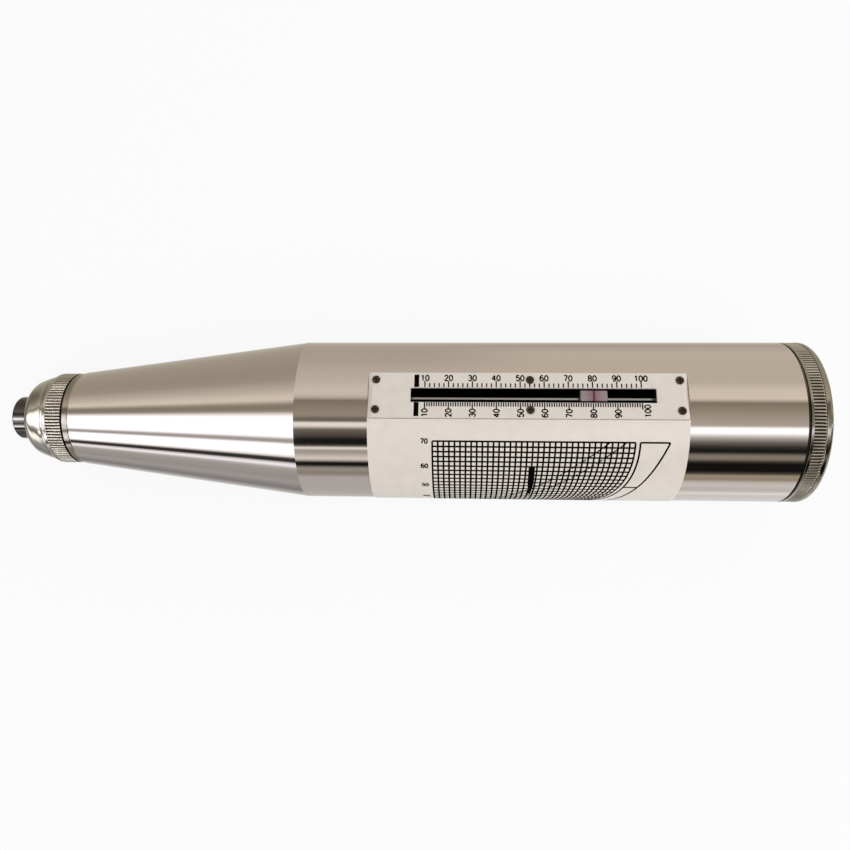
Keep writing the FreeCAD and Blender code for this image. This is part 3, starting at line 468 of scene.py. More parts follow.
# Inside the housing: the guide sleeve and its split ring, the springs, the hammer mass, the guide
# bar, disk and pawl, and the small parts of the rider and the button. They are ground or drawn
# steel, and the disk is light alloy, all with a film of oil.
ground_steel = turned_metal("ground_steel", (0.16, 0.155, 0.15), roughness=0.32)
oiled_steel = turned_metal("oiled_steel", (0.05, 0.05, 0.055), roughness=0.40)
spring_wire = turned_metal("spring_wire", (0.10, 0.10, 0.11), roughness=0.38, line_depth=0.25)
disk_alloy = turned_metal("disk_alloy", (0.30, 0.30, 0.31), roughness=0.35)


def finish_cad(material, *nodes):
    """Gives CAD pieces that keep their own shape their finished metal."""
    for node in nodes:
        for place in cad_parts[node].material_slots:
            place.material = material


finish_cad(ground_steel, "guide_sleeve", "split_ring_upper", "split_ring_lower", "guide_bar", "pawl",
           "pawl_pin", "button_latch")
finish_cad(spring_wire, "impact_spring", "buffer_spring", "return_spring", "pawl_spring",
           "button_spring", "rider_leaf")
finish_cad(oiled_steel, "hammer_mass", "rod_holders")
finish_cad(disk_alloy, "guide_disk")

# Felt washer: a soft ring punched from thick felt, which keeps dust off the plunger.
FELT_ENDS = (-127.05, -124.35)
FELT_RADII = (7.8, 10.45)
FELT_ROUND = 0.5


def turned(profile, columns=COLUMNS, wave=0.0):
    """A closed profile of (along, radius) carried round the tool's axis. Wave is added to the
    radius and may change with the row and the angle."""
    rows = np.array(profile + profile[:1], float)
    angle = np.linspace(0, 2 * math.pi, columns + 1)
    return around_axis(rows[:, :1], rows[:, 1:] + wave, angle)


def eased(profile, cut):
    """The closed profile with each corner cut back, by at most 0.4 of a side, and rounded by a point
    between: a quarter of each cut point and a half of the corner."""
    corner = np.array(profile, float)
    before, after = np.roll(corner, 1, axis=0), np.roll(corner, -1, axis=0)
    ends = []
    for other in (before, after):
        leg = other - corner
        length = np.linalg.norm(leg, axis=1, keepdims=True)
        ends.append(corner + leg * np.minimum(cut / length, 0.4))
    middle = 0.25 * ends[0] + 0.5 * corner + 0.25 * ends[1]
    return np.stack([ends[0], middle, ends[1]], axis=1).reshape(-1, 2).tolist()


def screen(red, green, blue):
    """A colour picked on screen, 0 to 255, as linear light: ((c / 255 + 0.055) / 1.055) to the 2.4."""
    share = np.array([red, green, blue]) / 255
    linear = np.where(share <= 0.04045, share / 12.92, ((share + 0.055) / 1.055) ** 2.4)
    return (*linear.tolist(), 1.0)


def plain_surface(name, tones, roughness, grain, bump_height, coat=0.0, detail=4.0):
    """Cloth, or moulded or printed stock: noise of the given grain between two near tones, with a
    bump of the same noise."""
    material, tree, out = new_material(name)
    skin = tree.nodes.new("ShaderNodeBsdfPrincipled")
    skin.inputs["Roughness"].default_value = roughness
    skin.inputs["Coat Weight"].default_value = coat
    skin.inputs["Coat Roughness"].default_value = 0.25
    noise = tree.nodes.new("ShaderNodeTexNoise")
    noise.inputs["Scale"].default_value = grain
    noise.inputs["Detail"].default_value = detail
    tree.links.new(tree.nodes.new("ShaderNodeTexCoord").outputs["Object"], noise.inputs["Vector"])
    grains = ramp(tree, noise.outputs[0], [(0.3, tones[0]), (0.7, tones[1])])
    tree.links.new(grains, skin.inputs["Base Color"])
    bump = tree.nodes.new("ShaderNodeBump")
    bump.inputs["Distance"].default_value = bump_height
    tree.links.new(noise.outputs[0], bump.inputs["Height"])
    tree.links.new(bump.outputs[0], skin.inputs["Normal"])
    tree.links.new(skin.outputs[0], out.inputs["Surface"])
    return material


felt = plain_surface(
    "grey_felt", (screen(120, 116, 108), screen(178, 173, 163)), roughness=1.0, grain=2600.0,
    bump_height=0.0002, detail=5.0,
)
felt.node_tree.nodes["Principled BSDF"].inputs["Sheen Weight"].default_value = 0.4
ring = [
    (FELT_ENDS[0], FELT_RADII[0]), (FELT_ENDS[0], FELT_RADII[1]),
    (FELT_ENDS[1], FELT_RADII[1]), (FELT_ENDS[1], FELT_RADII[0]),
]
build("felt_ring", [(turned(eased(ring, FELT_ROUND), columns=96), None, 0)], [felt], "casing",
      ["felt_washer"], sharp=60)

# Impact plunger: a hardened and polished rod whose end is ground to a part of a ball. It darkens
# in hardening, so it reflects less than the housing.
PLUNGER_RADIUS = 7.5
PLUNGER_TIP = -136.6
PLUNGER_END = -40.1
TIP_CURVE = 25.0
BAR_BORE = 3.55
BORE_BOTTOM = -72.1
TIP_STEPS = 10
TIP_EDGE = 0.6
EDGE_ROWS = [(0.15, 0.2), (0.5, 0.0)]
END_EASE = 0.3
dark_metal = turned_metal("hardened_plunger", (0.085, 0.076, 0.071), roughness=0.07)
tip_radii = np.linspace(0, PLUNGER_RADIUS - TIP_EDGE, TIP_STEPS)
tip_rows = [
    (PLUNGER_TIP + TIP_CURVE - math.sqrt(TIP_CURVE**2 - value**2), value) for value in tip_radii.tolist()
]
edge_start = tip_rows[-1][0]
edge_rows = [(edge_start + back, PLUNGER_RADIUS - inwards) for back, inwards in EDGE_ROWS]
plunger = tip_rows + edge_rows + [
    (PLUNGER_END - END_EASE, PLUNGER_RADIUS), (PLUNGER_END, PLUNGER_RADIUS - END_EASE),
    (PLUNGER_END, BAR_BORE), (BORE_BOTTOM, BAR_BORE), (BORE_BOTTOM, 0.0),
]
build("plunger_rod", [(turned(plunger, columns=192), None, 0)], [dark_metal], "carriage",
      ["impact_plunger"], sharp=14)

# Nose cap: turned and polished, domed towards the plunger, with a bevelled rim and a band of
# straight knurling by which it is unscrewed.
CAP_TEETH = 92
TOOTH_COLUMNS = 10
CAP_TONE = (0.43, 0.395, 0.345)
CAP_KNURL_TONE = (0.46, 0.42, 0.36)
CAP_TOOTH_DEPTH = 0.34
CAP_DOME = [
    (-129.65, 9.5), (-129.5, 9.95), (-129.0, 11.0), (-128.1, 12.1), (-126.6, 13.25), (-124.1, 14.2),
    (-122.4, 14.75), (-121.0, 15.08),
]
CAP_RIM = [
    (-120.95, 14.95), (-120.8, 14.95), (-120.75, 15.2), (-119.95, 15.45), (-119.8, 15.8), (-119.5, 15.95),
]
CAP_KNURL = [(-118.7, 15.95), (-118.5, 15.93), (-113.65, 15.93), (-113.45, 15.9)]
CAP_JOINT = [(-113.4, 15.2), (-113.25, 15.2), (-113.2, 12.4)]
CAP_BACK = [
    (-124.15, 12.4), (-124.15, 10.6), (-127.1, 10.6), (-127.1, 7.95), (-129.4, 7.95), (-129.65, 8.2),
]
CURVE_STEPS = 5
# Painted shade between the knurl's teeth: the colour is multiplied down towards this dark tone in the
# hollows.
TOOTH_SHADE = [(0.2, (1, 1, 1, 1)), (0.6, (0.12, 0.10, 0.08, 1))]


def smooth_curve(points, steps):
    """A smooth line through the points: cubic pieces whose slopes are half the distance between
    each point's two neighbours."""
    knots = np.array(points, float)
    slopes = np.gradient(knots, axis=0)
    share = np.linspace(0, 1, steps, endpoint=False)[None, :, None]
    start, end = knots[:-1, None], knots[1:, None]
    leave, reach = slopes[:-1, None], slopes[1:, None]
    curve = (
        (2 * share**3 - 3 * share**2 + 1) * start + (share**3 - 2 * share**2 + share) * leave
        + (3 * share**2 - 2 * share**3) * end + (share**3 - share**2) * reach
    )
    return curve.reshape(-1, 2).tolist() + [list(points[-1])]


def knurled(rows, first, last, teeth, depth):
    """The wave of a knurled band: from row first to last the radius drops between the teeth by
    depth times the fourth power of cos(teeth * angle / 2), so that the crests stay broad."""
    angle = np.linspace(0, 2 * math.pi, teeth * TOOTH_COLUMNS + 1)
    wave = np.zeros((rows + 1, len(angle)))
    wave[first:last + 1] = -depth * (0.5 + 0.5 * np.cos(teeth * angle)) ** 2
    return wave


def worn_knurl(name, tone, crest, depth):
    """The polished metal with painted shade between the teeth: darker as the distance from the
    tool's axis falls from the crest by the teeth's depth."""
    material = turned_metal(name, tone, roughness=0.30)
    tree = material.node_tree
    metal = tree.nodes["Principled BSDF"]
    unshaded = metal.inputs["Base Color"].links[0].from_socket
    place = split_place(tree)
    rise = calc(tree, "SUBTRACT", place["Z"], AXIS * MM)
    side_square = calc(tree, "MULTIPLY", place["Y"], place["Y"])
    squares = calc(tree, "MULTIPLY_ADD", rise, rise, side_square)
    below = calc(tree, "SUBTRACT", crest * MM, calc(tree, "SQRT", squares))
    tooth_shade = calc(tree, "MULTIPLY", below, 1 / (depth * MM))
    shade = tree.nodes.new("ShaderNodeMix")
    shade.data_type, shade.blend_type = "RGBA", "MULTIPLY"
    shade.inputs[0].default_value = 1.0
    tree.links.new(unshaded, shade.inputs[6])
    tree.links.new(ramp(tree, tooth_shade, TOOTH_SHADE), shade.inputs[7])
    tree.links.new(shade.outputs[2], metal.inputs["Base Color"])
    return material


# The knurl's two middle rows carry the teeth, and its outer rows stay round.
before = [tuple(row) for row in smooth_curve(CAP_DOME, CURVE_STEPS)] + CAP_RIM
cap = before + CAP_KNURL + CAP_JOINT + CAP_BACK
knurl_row = len(before) + 1
cap_wave = knurled(len(cap), knurl_row, knurl_row + 1, CAP_TEETH, CAP_TOOTH_DEPTH)
cap_grid = turned(cap, CAP_TEETH * TOOTH_COLUMNS, cap_wave)
cap_metal = turned_metal("cap_metal", CAP_TONE, roughness=0.09)
cap_knurl = worn_knurl("cap_knurl", CAP_KNURL_TONE, CAP_KNURL[1][1], CAP_TOOTH_DEPTH)
joint_row = knurl_row + 2
build(
    "nose_cap_turned",
    [(cap_grid[:knurl_row], None, 0), (cap_grid[knurl_row - 1:joint_row + 1], None, 1),
     (cap_grid[joint_row:], None, 2)],
    [cap_metal, cap_knurl, joint_painted_shade], "casing", ["nose_cap"], sharp=14,
)

# Rear cover: a turned cap screwed into the tube, knurled round its rim. Its flat end is recessed
# for the lock nut of the trip screw.
COVER_TEETH = 160
COVER_TONE = (0.27, 0.243, 0.20)
COVER_KNURL_TONE = (0.44, 0.40, 0.34)
COVER_TOOTH_DEPTH = 0.34
COVER_FACE = 136.6
COVER_JOINT = [(128.95, 25.15), (128.95, 26.25), (129.2, 26.3)]
COVER_LIP = [(129.22, 26.8), (129.35, 27.0), (129.95, 27.0), (130.1, 26.97)]
COVER_KNURL = [(130.2, 26.95), (133.6, 26.95), (133.75, 26.95)]
COVER_BAND = [(133.8, 26.6), (133.9, 26.6), (133.95, 26.95), (134.05, 27.0)]
COVER_EDGE = [(135.05, 27.0), (135.75, 26.6), (136.3, 25.7), (136.55, 24.7), (COVER_FACE, 24.2)]
COVER_BACK = [
    (COVER_FACE, 8.4), (136.3, 8.0), (133.2, 8.0), (133.2, 3.05), (123.95, 3.05), (123.95, 6.0),
    (128.95, 6.0), (128.95, 22.0), (120.95, 22.0), (120.95, 25.15),
]
EDGE_STEPS = 4
edge = [tuple(row) for row in smooth_curve(COVER_EDGE, EDGE_STEPS)]
cover = COVER_JOINT + COVER_LIP + COVER_KNURL + COVER_BAND + edge + COVER_BACK
knurl_row = len(COVER_JOINT) + len(COVER_LIP)
cover_wave = knurled(len(cover), knurl_row, knurl_row + 1, COVER_TEETH, COVER_TOOTH_DEPTH)
cover_grid = turned(cover, COVER_TEETH * TOOTH_COLUMNS, cover_wave)
cover_metal = turned_metal("cover_metal", COVER_TONE, roughness=0.09)
cover_knurl = worn_knurl("cover_knurl", COVER_KNURL_TONE, COVER_KNURL[0][1], COVER_TOOTH_DEPTH)
first, last = knurl_row - 1, knurl_row + 2
build(
    "rear_cover_turned",
    [(cover_grid[:len(COVER_JOINT)], None, 2), (cover_grid[len(COVER_JOINT) - 1:first + 1], None, 0),
     (cover_grid[first:last + 1], None, 1), (cover_grid[last:], None, 0)],
    [cover_metal, cover_knurl, joint_painted_shade], "casing", ["rear_cover"], sharp=14,
)
finish_cad(oiled_steel, "trip_screw", "trip_screw_nut")

# Scale panel: a pale moulded strip screwed on the flat, slotted over the rider, with bevelled ends.
# The scale is printed: a tick for every second unit above the slot and for every unit below it.
PANEL_ENDS = (-7.0, 93.0)
PANEL_HALF = 7.6
PANEL_LEVELS = (52.85, 53.65)
PANEL_CORNER = 0.9
PANEL_EASE = 0.12
SLOT_ENDS = (6.6, 83.2)
SLOT_HALF = 2.4
END_BEVEL = (1.5, 0.5)
BEVEL_CORNER = 0.2
SLOT_CORNERS = (0.25, 0.15)
CORNER_STEPS = 6
INK_HEIGHT = 0.02
ZERO_PLACE = 3.6
UNIT = 0.75
TICK_WIDTH = 0.40
TICK_REACH = 1.35
TEN_REACH = 2.1
NUMBER_HEIGHT = 1.8
NUMBER_WEIGHT = 0.42
UPPER_NUMBER_PLACE = 5.62
LOWER_NUMBER_PLACE = -6.0
HUNDRED_SHIFT = (1.5, 0.9)
START_BAR_SIDES = (7.7, 9.25)
START_BAR_ENDS = (-7.15, 6.75)


def rounded_loop(ends, half, corner):
    """A closed loop round a rectangle with rounded corners, the same number of points whatever
    its size, so that two loops can be joined corner to corner."""
    turn = np.linspace(0, math.pi / 2, CORNER_STEPS)
    middles = [(ends[1] - corner, half - corner), (ends[0] + corner, half - corner),
               (ends[0] + corner, corner - half), (ends[1] - corner, corner - half)]
    arcs = []
    for k, (x, y) in enumerate(middles):
        angle = turn + k * math.pi / 2
        arcs.append(np.stack([x + corner * np.cos(angle), y + corner * np.sin(angle)], -1))
    loop = np.concatenate(arcs)
    return np.concatenate([loop, loop[:1]])


def at_level(loop, level):
    """The loop's points at one height."""
    return np.concatenate([loop, np.full((len(loop), 1), level)], axis=1)


cream = plain_surface(
    "cream_plastic", (screen(217, 208, 198), screen(224, 215, 206)), roughness=0.38, grain=300.0,
    bump_height=0.000004, coat=0.1,
)
ink = plain_surface(
    "black_ink", (screen(6, 5, 4), screen(14, 12, 10)), roughness=0.7, grain=2000.0, bump_height=0.000003,
)
ink.node_tree.nodes["Principled BSDF"].inputs["Specular IOR Level"].default_value = 0.0
low, high = PANEL_LEVELS
rim = rounded_loop(PANEL_ENDS, PANEL_HALF, PANEL_CORNER)
eased_ends = (PANEL_ENDS[0] + PANEL_EASE, PANEL_ENDS[1] - PANEL_EASE)
rim_top = rounded_loop(eased_ends, PANEL_HALF - PANEL_EASE, PANEL_CORNER)
bevel_ends = (PANEL_ENDS[0] + END_BEVEL[0], PANEL_ENDS[1] - END_BEVEL[0])
bevel_line = rounded_loop(bevel_ends, PANEL_HALF - PANEL_EASE * 2, BEVEL_CORNER)
lip_ends = (SLOT_ENDS[0] - PANEL_EASE, SLOT_ENDS[1] + PANEL_EASE)
slot_top = rounded_loop(lip_ends, SLOT_HALF + PANEL_EASE, SLOT_CORNERS[0])
slot_rim = rounded_loop(SLOT_ENDS, SLOT_HALF, SLOT_CORNERS[1])
panel_rows = [
    at_level(rim, low), at_level(rim, high - PANEL_EASE), at_level(rim_top, high),
    at_level(bevel_line, high), at_level(slot_top, high), at_level(slot_rim, high - PANEL_EASE),
    at_level(slot_rim, low), at_level(rim, low),
]
panel_grid = np.stack(panel_rows)
from_end = np.minimum(panel_grid[1:3, :, 0] - PANEL_ENDS[0], PANEL_ENDS[1] - panel_grid[1:3, :, 0])
panel_grid[1:3, :, 2] -= END_BEVEL[1] * np.clip(1 - from_end / END_BEVEL[0], 0, 1)
build("scale_plate", [(panel_grid, None, 0)], [cream], "casing", ["scale_panel"], sharp=8)


def printed_bars(lefts, rights, bottoms, tops, on_sheet):
    """A thin raised block for each bar of ink, from arrays of its four sides."""
    four = [np.atleast_1d(side) for side in (lefts, rights, bottoms, tops)]
    lefts, rights, bottoms, tops = np.broadcast_arrays(*four)
    across = np.stack([lefts, rights, rights, lefts], axis=1)
    up = np.stack([bottoms, bottoms, tops, tops], axis=1)
    foot = on_sheet(across, up, np.zeros_like(across, dtype=float))
    head = on_sheet(across, up, np.full(across.shape, INK_HEIGHT))
    points = np.concatenate([foot, head], axis=1).reshape(-1, 3)
    sides = np.array([(0, 3, 2, 1), (4, 5, 6, 7), (0, 1, 5, 4), (1, 2, 6, 5), (2, 3, 7, 6), (3, 0, 4, 7)])
    faces = (np.arange(len(lefts))[:, None, None] * 8 + sides).reshape(-1, 4)
    return points, faces.tolist()


def pen_line(across, up, width, on_sheet):
    """A line of ink along a path on a sheet: a thin raised strip with square sides, closed at its
    ends, where the side steps stand square to the path."""
    path = np.stack([across, up], axis=-1)
    along = np.gradient(path, axis=0)
    along /= np.linalg.norm(along, axis=1, keepdims=True)
    side = np.stack([-along[:, 1], along[:, 0]], axis=-1) * np.asarray(width).reshape(-1, 1) / 2
    rows = []
    for reach, height in ((-1, 0), (-1, INK_HEIGHT), (1, INK_HEIGHT), (1, 0), (-1, 0)):
        edge = path + reach * side
        rows.append(on_sheet(edge[:, 0], edge[:, 1], np.full(len(path), float(height))))
    tube = np.stack(rows, axis=1)
    caps = [np.repeat(tube[end].mean(axis=0)[None, None], tube.shape[1], axis=1) for end in (0, -1)]
    grid = np.concatenate([caps[0], tube, caps[1]])
    faces = grid_faces(np.ones((grid.shape[0] - 1, grid.shape[1] - 1), bool))
    return grid.reshape(-1, 3), faces.tolist()


# Plain numbers as an engraver's pen draws them: the strokes of each digit in a box four wide and
# six high, each a list of points to join by a smooth line (True) or by straight ones (False).
DIGITS = {
    "0": [(True, [(2, 6), (0.7, 5), (0.3, 3), (0.7, 1), (2, 0), (3.3, 1), (3.7, 3), (3.3, 5), (2, 6),
                  (1.6, 5.9)])],
    "1": [(False, [(0.9, 4.7), (2.3, 6), (2.3, 0)])],
    "2": [(True, [(0.4, 4.4), (0.9, 5.6), (2, 6), (3.3, 5.5), (3.5, 4.3), (2.6, 2.7), (0.3, 0)]),
          (False, [(0.1, 0), (3.8, 0)])],
    "3": [(True, [(0.5, 5.2), (2, 6), (3.4, 5.1), (3.2, 3.7), (1.6, 3.2)]),
          (True, [(1.6, 3.2), (3.3, 2.8), (3.7, 1.5), (3, 0.3), (1.7, 0), (0.3, 1.1)])],
    "4": [(False, [(2.8, 0), (2.8, 6), (0.1, 1.8), (3.9, 1.8)])],
    "5": [(False, [(3.5, 6), (0.9, 6), (0.6, 3.2)]),
          (True, [(0.6, 3.2), (2, 3.9), (3.4, 3.2), (3.7, 1.8), (2.9, 0.3), (1.6, 0), (0.3, 1.1)])],
    "6": [(True, [(3.3, 5.4), (2.1, 6), (0.8, 5), (0.3, 3), (0.6, 0.9), (2, 0), (3.4, 0.8), (3.6, 2.2),
                  (2.8, 3.5), (1.6, 3.6), (0.5, 2.4)])],
    "7": [(False, [(0.2, 6), (3.7, 6), (1.4, 0)])],
    "8": [(True, [(2, 3.2), (0.7, 4), (0.7, 5.3), (2, 6), (3.3, 5.3), (3.3, 4), (2, 3.2), (0.6, 2.4),
                  (0.4, 0.9), (2, 0), (3.6, 0.9), (3.4, 2.4), (2, 3.2), (1.5, 3.4)])],
    "9": [(True, [(0.7, 0.6), (1.9, 0), (3.2, 1), (3.7, 3), (3.4, 5.1), (2, 6), (0.6, 5.2), (0.4, 3.8),
                  (1.2, 2.5), (2.4, 2.4), (3.5, 3.6)])],
}
DIGIT_BOX = (4, 6)
DIGIT_STEP = 4.8
STROKE_STEPS = 4


def pen_number(text, height, place, turn, weight, on_sheet):
    """The strokes of a plain number, centred on its place and turned by an angle."""
    scale = height / DIGIT_BOX[1]
    spin = np.array([[math.cos(turn), math.sin(turn)], [-math.sin(turn), math.cos(turn)]])
    middle = np.array([DIGIT_STEP * (len(text) - 1) + DIGIT_BOX[0], DIGIT_BOX[1]]) / 2
    strokes = []
    for k, digit in enumerate(text):
        for bent, points in DIGITS[digit]:
            pieces = [smooth_curve(points, STROKE_STEPS)] if bent else zip(points[:-1], points[1:])
            for piece in pieces:
                path = (np.array(piece) + [DIGIT_STEP * k, 0] - middle) * scale @ spin + np.array(place)
                strokes.append(pen_line(path[:, 0], path[:, 1], weight, on_sheet))
    return strokes


def print_on(name, prints, material, body):
    """Joins printed bars and numbers to one piece."""
    points, faces, start = [], [], 0
    for spots, rows in prints:
        points.append(spots)
        faces += [[corner + start for corner in row] for row in rows]
        start += len(spots)
    mesh = bpy.data.meshes.new(name)
    mesh.from_pydata((np.concatenate(points) * MM).tolist(), [], faces)
    finish_piece(name, mesh, [material], body, sharp=30)


def on_panel(across, up, height):
    """A point of the panel's face: across along the tool, up away from the chart."""
    return np.stack([across, up, PANEL_LEVELS[1] + height], axis=-1)


def scale_place(reading):
    """Where a reading stands along the tool."""
    return ZERO_PLACE + UNIT * reading


prints = []
for readings, reach, side in (
    (np.arange(10, 101, 2), TICK_REACH, 1), (np.arange(10, 101, 10), TEN_REACH, 1),
    (np.arange(10, 101, 1), TICK_REACH, -1), (np.arange(10, 101, 10), TEN_REACH, -1),
):
    middle = scale_place(readings)
    near, far = side * (SLOT_HALF + PANEL_EASE), side * (SLOT_HALF + PANEL_EASE + reach)
    lower, upper = min(near, far), max(near, far)
    prints.append(printed_bars(middle - TICK_WIDTH / 2, middle + TICK_WIDTH / 2, lower, upper, on_panel))
slot_edge = SLOT_HALF + PANEL_EASE
for bottom, top in ((START_BAR_ENDS[0], -slot_edge), (slot_edge, START_BAR_ENDS[1])):
    prints.append(printed_bars(*START_BAR_SIDES, bottom, top, on_panel))
for reading in range(10, 101, 10):
    x = scale_place(reading)
    prints += pen_number(str(reading), NUMBER_HEIGHT, (x, UPPER_NUMBER_PLACE), 0.0, NUMBER_WEIGHT, on_panel)
    shift = HUNDRED_SHIFT if reading == 100 else (0.0, 0.0)
    lower = (x + shift[0], LOWER_NUMBER_PLACE + shift[1])
    prints += pen_number(str(reading), NUMBER_HEIGHT, lower, math.pi / 2, NUMBER_WEIGHT, on_panel)
print_on("scale_print", prints, ink, "casing")

# Panel screws: six small screws of blackened steel with low round heads and a cross recess, which
# hold the panel at its ends and its middle.
SCREW_PLACES = [(x, y) for x in (-4.46, 44.2, 90.55) for y in (-4.98, 4.98)]
HEAD_RADIUS = 1.3
HEAD_HEIGHT = 0.45
HEAD_BELLY = 0.16
CROSS_HALF_WIDTH = 0.2
CROSS_REACH = 0.95
CROSS_DEPTH = 0.4
CROSS_EASES = (0.06, 0.15)
HEAD_RINGS = 20
HEAD_COLUMNS = 64
blackened = plain_surface(
    "blackened_steel", (screen(52, 45, 38), screen(100, 88, 76)), roughness=0.3, grain=3000.0,
    bump_height=0.00001,
)
blackened.node_tree.nodes["Principled BSDF"].inputs["Metallic"].default_value = 0.9
# The cross recess is painted near-black: painted shade in the recess.
cross_recess_painted_shade = plain_surface(
    "cross_recess_painted_shade", (screen(10, 9, 8), screen(22, 19, 16)), roughness=0.7, grain=3000.0, bump_height=0.00001,
)
ring_share = np.linspace(0, 1, HEAD_RINGS)[:, None]
spoke = np.linspace(0, 2 * math.pi, HEAD_COLUMNS + 1)[None, :]
head_x = HEAD_RADIUS * ring_share * np.cos(spoke)
head_y = HEAD_RADIUS * ring_share * np.sin(spoke)
head_z = HEAD_HEIGHT - HEAD_BELLY * ring_share**2 + 0 * spoke
offset = np.minimum(np.abs(head_x), np.abs(head_y))
reach = np.maximum(np.abs(head_x), np.abs(head_y))
arm = np.clip((CROSS_HALF_WIDTH + CROSS_EASES[0] - offset) / CROSS_EASES[0], 0, 1)
groove = arm * np.clip((CROSS_REACH - reach) / CROSS_EASES[1], 0, 1)
head_z = head_z - CROSS_DEPTH * groove
skirt = np.stack([head_x[-1], head_y[-1], np.zeros_like(head_x[-1])], axis=-1)[None]
crown = np.concatenate([np.stack([head_x, head_y, head_z], axis=-1), skirt, skirt * [0, 0, 1]])
cut = np.zeros((len(crown) - 1, HEAD_COLUMNS), bool)
cut[:HEAD_RINGS - 1] = (groove[:-1, :-1] + groove[1:, 1:] > 0.5)
heads = [
    (crown + [x, y, PANEL_LEVELS[1]], mask, number)
    for x, y in SCREW_PLACES for mask, number in ((~cut, 0), (cut, 1))
]
build("screw_heads", heads, [blackened, cross_recess_painted_shade], "casing", ["panel_screws"], sharp=25)

# Chart label: a printed film glued round the tube from the panel's edge down. Its chart is a grid
# with two dashed lines and a bold mark, numbers at the left and a slanted box at the right.
LABEL_RADII = (27.05, 27.22)
LABEL_ANGLES = (16.8, 112.8)
LABEL_ENDS = (-7.0, 93.0)
LABEL_STEPS = 96
CHART_LEFT = 13.6
CHART_RIGHT = 76.6
CHART_COLUMNS = 36
CHART_TOP = 15.0
ROW_PITCH = 1.75
CHART_ROWS = 20
LINE_WIDTH = 0.58
FINE_LINE = 0.40
LEAN = 5.1
LEAN_DEPTH = 22.0
LEAN_POWERS = (3, 2.1)
DASHED_STARTS = (68.9, 74.0)
DASHED_LEAN = 1.22
DASH_FALL = 1.5
DASH_STEP = 1.95
BOX_START = 1.5
BOX_WIDTH = 9.1
BOX_DIVIDER = 32.8
BOX_LEAN = 7.4
BOX_CURL = 0.5
LABEL_NUMBER_HEIGHT = 1.5
LABEL_NUMBER_PLACE = 11.0
ROWS_PER_NUMBER = 5
MARK_ENDS = (23.7, 38.0)
MARK_PLACE = 45.1
MARK_WIDTHS = (2.0, 2.0, 0.6)
MARK_STEPS = 24
COLUMN_STEPS = 40
ROW_STEPS = 30
DASH_POINTS = 4
BOX_STEPS = 8


def on_label(across, down, height):
    """A point of the label: across along the tool, down round the tube from straight up."""
    angle = -down / LABEL_RADII[1]
    return around_axis(across, LABEL_RADII[1] + height, angle)


def leaning(share, down):
    """Where a column of the chart stands: columns lean towards the nose as they go down, the more
    so the further right they are."""
    deep = np.clip((down - CHART_TOP) / LEAN_DEPTH, 0, None)
    lean = LEAN * np.clip(share, 0, None) ** LEAN_POWERS[0] * deep ** LEAN_POWERS[1]
    return CHART_LEFT + share * (CHART_RIGHT - CHART_LEFT) - lean


film = plain_surface(
    "label_film", (screen(222, 213, 203), screen(228, 219, 210)), roughness=0.35, grain=250.0,
    bump_height=0.000004, coat=0.15,
)
wrap = -np.radians(np.linspace(*LABEL_ANGLES, LABEL_STEPS))
low_r, high_r = LABEL_RADII
section = [(LABEL_ENDS[0], low_r), (LABEL_ENDS[0], high_r), (LABEL_ENDS[1], high_r), (LABEL_ENDS[1], low_r)]
rows = np.array(section + section[:1])
sheet_grid = around_axis(rows[:, :1], rows[:, 1:], wrap)
end_walls = [
    np.stack([around_axis(np.array(LABEL_ENDS), r, wrap[end]) for r in LABEL_RADII]) for end in (0, -1)
]
build("chart_sheet", [(sheet_grid, None, 0)] + [(wall, None, 0) for wall in end_walls], [film],
      "casing", ["chart_label"], sharp=20)

chart_bottom = CHART_TOP + ROW_PITCH * CHART_ROWS
down = np.linspace(CHART_TOP, chart_bottom, COLUMN_STEPS)
chart = [
    pen_line(leaning(k / CHART_COLUMNS, down), down, LINE_WIDTH, on_label) for k in range(CHART_COLUMNS + 1)
]
share = np.linspace(0, 1, ROW_STEPS)
for k in range(CHART_ROWS + 1):
    level = np.full_like(share, CHART_TOP + ROW_PITCH * k)
    chart.append(pen_line(leaning(share, level), level, LINE_WIDTH, on_label))
for start in DASHED_STARTS:
    for first in np.arange(CHART_TOP, chart_bottom - DASH_FALL, DASH_STEP):
        dash = np.linspace(first, first + DASH_FALL, DASH_POINTS)
        chart.append(pen_line(start - DASHED_LEAN * (dash - CHART_TOP), dash, FINE_LINE, on_label))
left_edge = leaning(1.0, down) + BOX_START
fallen = (down - CHART_TOP) / (BOX_DIVIDER - CHART_TOP)
right_edge = CHART_RIGHT + BOX_START + BOX_WIDTH - BOX_LEAN * fallen - BOX_CURL * fallen**3
chart.append(pen_line(left_edge, down, LINE_WIDTH, on_label))
chart.append(pen_line(right_edge, down, LINE_WIDTH, on_label))
for level in (CHART_TOP, BOX_DIVIDER, chart_bottom):
    left, right = np.interp(level, down, left_edge), np.interp(level, down, right_edge)
    edge = np.linspace(left, right, BOX_STEPS)
    chart.append(pen_line(edge, np.full_like(edge, level), LINE_WIDTH, on_label))
mark_down = np.linspace(*MARK_ENDS, MARK_STEPS)
mark_width = np.interp(mark_down, [MARK_ENDS[0], sum(MARK_ENDS) / 2, MARK_ENDS[1]], MARK_WIDTHS)
chart.append(pen_line(np.full_like(mark_down, MARK_PLACE), mark_down, mark_width, on_label))


def read_on_label(across, up, height):
    """A point of the label for writing that reads from above: up is counted from straight up."""
    return on_label(across, -up, height)


for k, number in enumerate(range(70, 20, -10)):
    place = (LABEL_NUMBER_PLACE, -(CHART_TOP + ROW_PITCH * ROWS_PER_NUMBER * k))
    chart += pen_number(str(number), LABEL_NUMBER_HEIGHT, place, 0.0, NUMBER_WEIGHT, read_on_label)
print_on("chart_print", chart, ink, "casing")

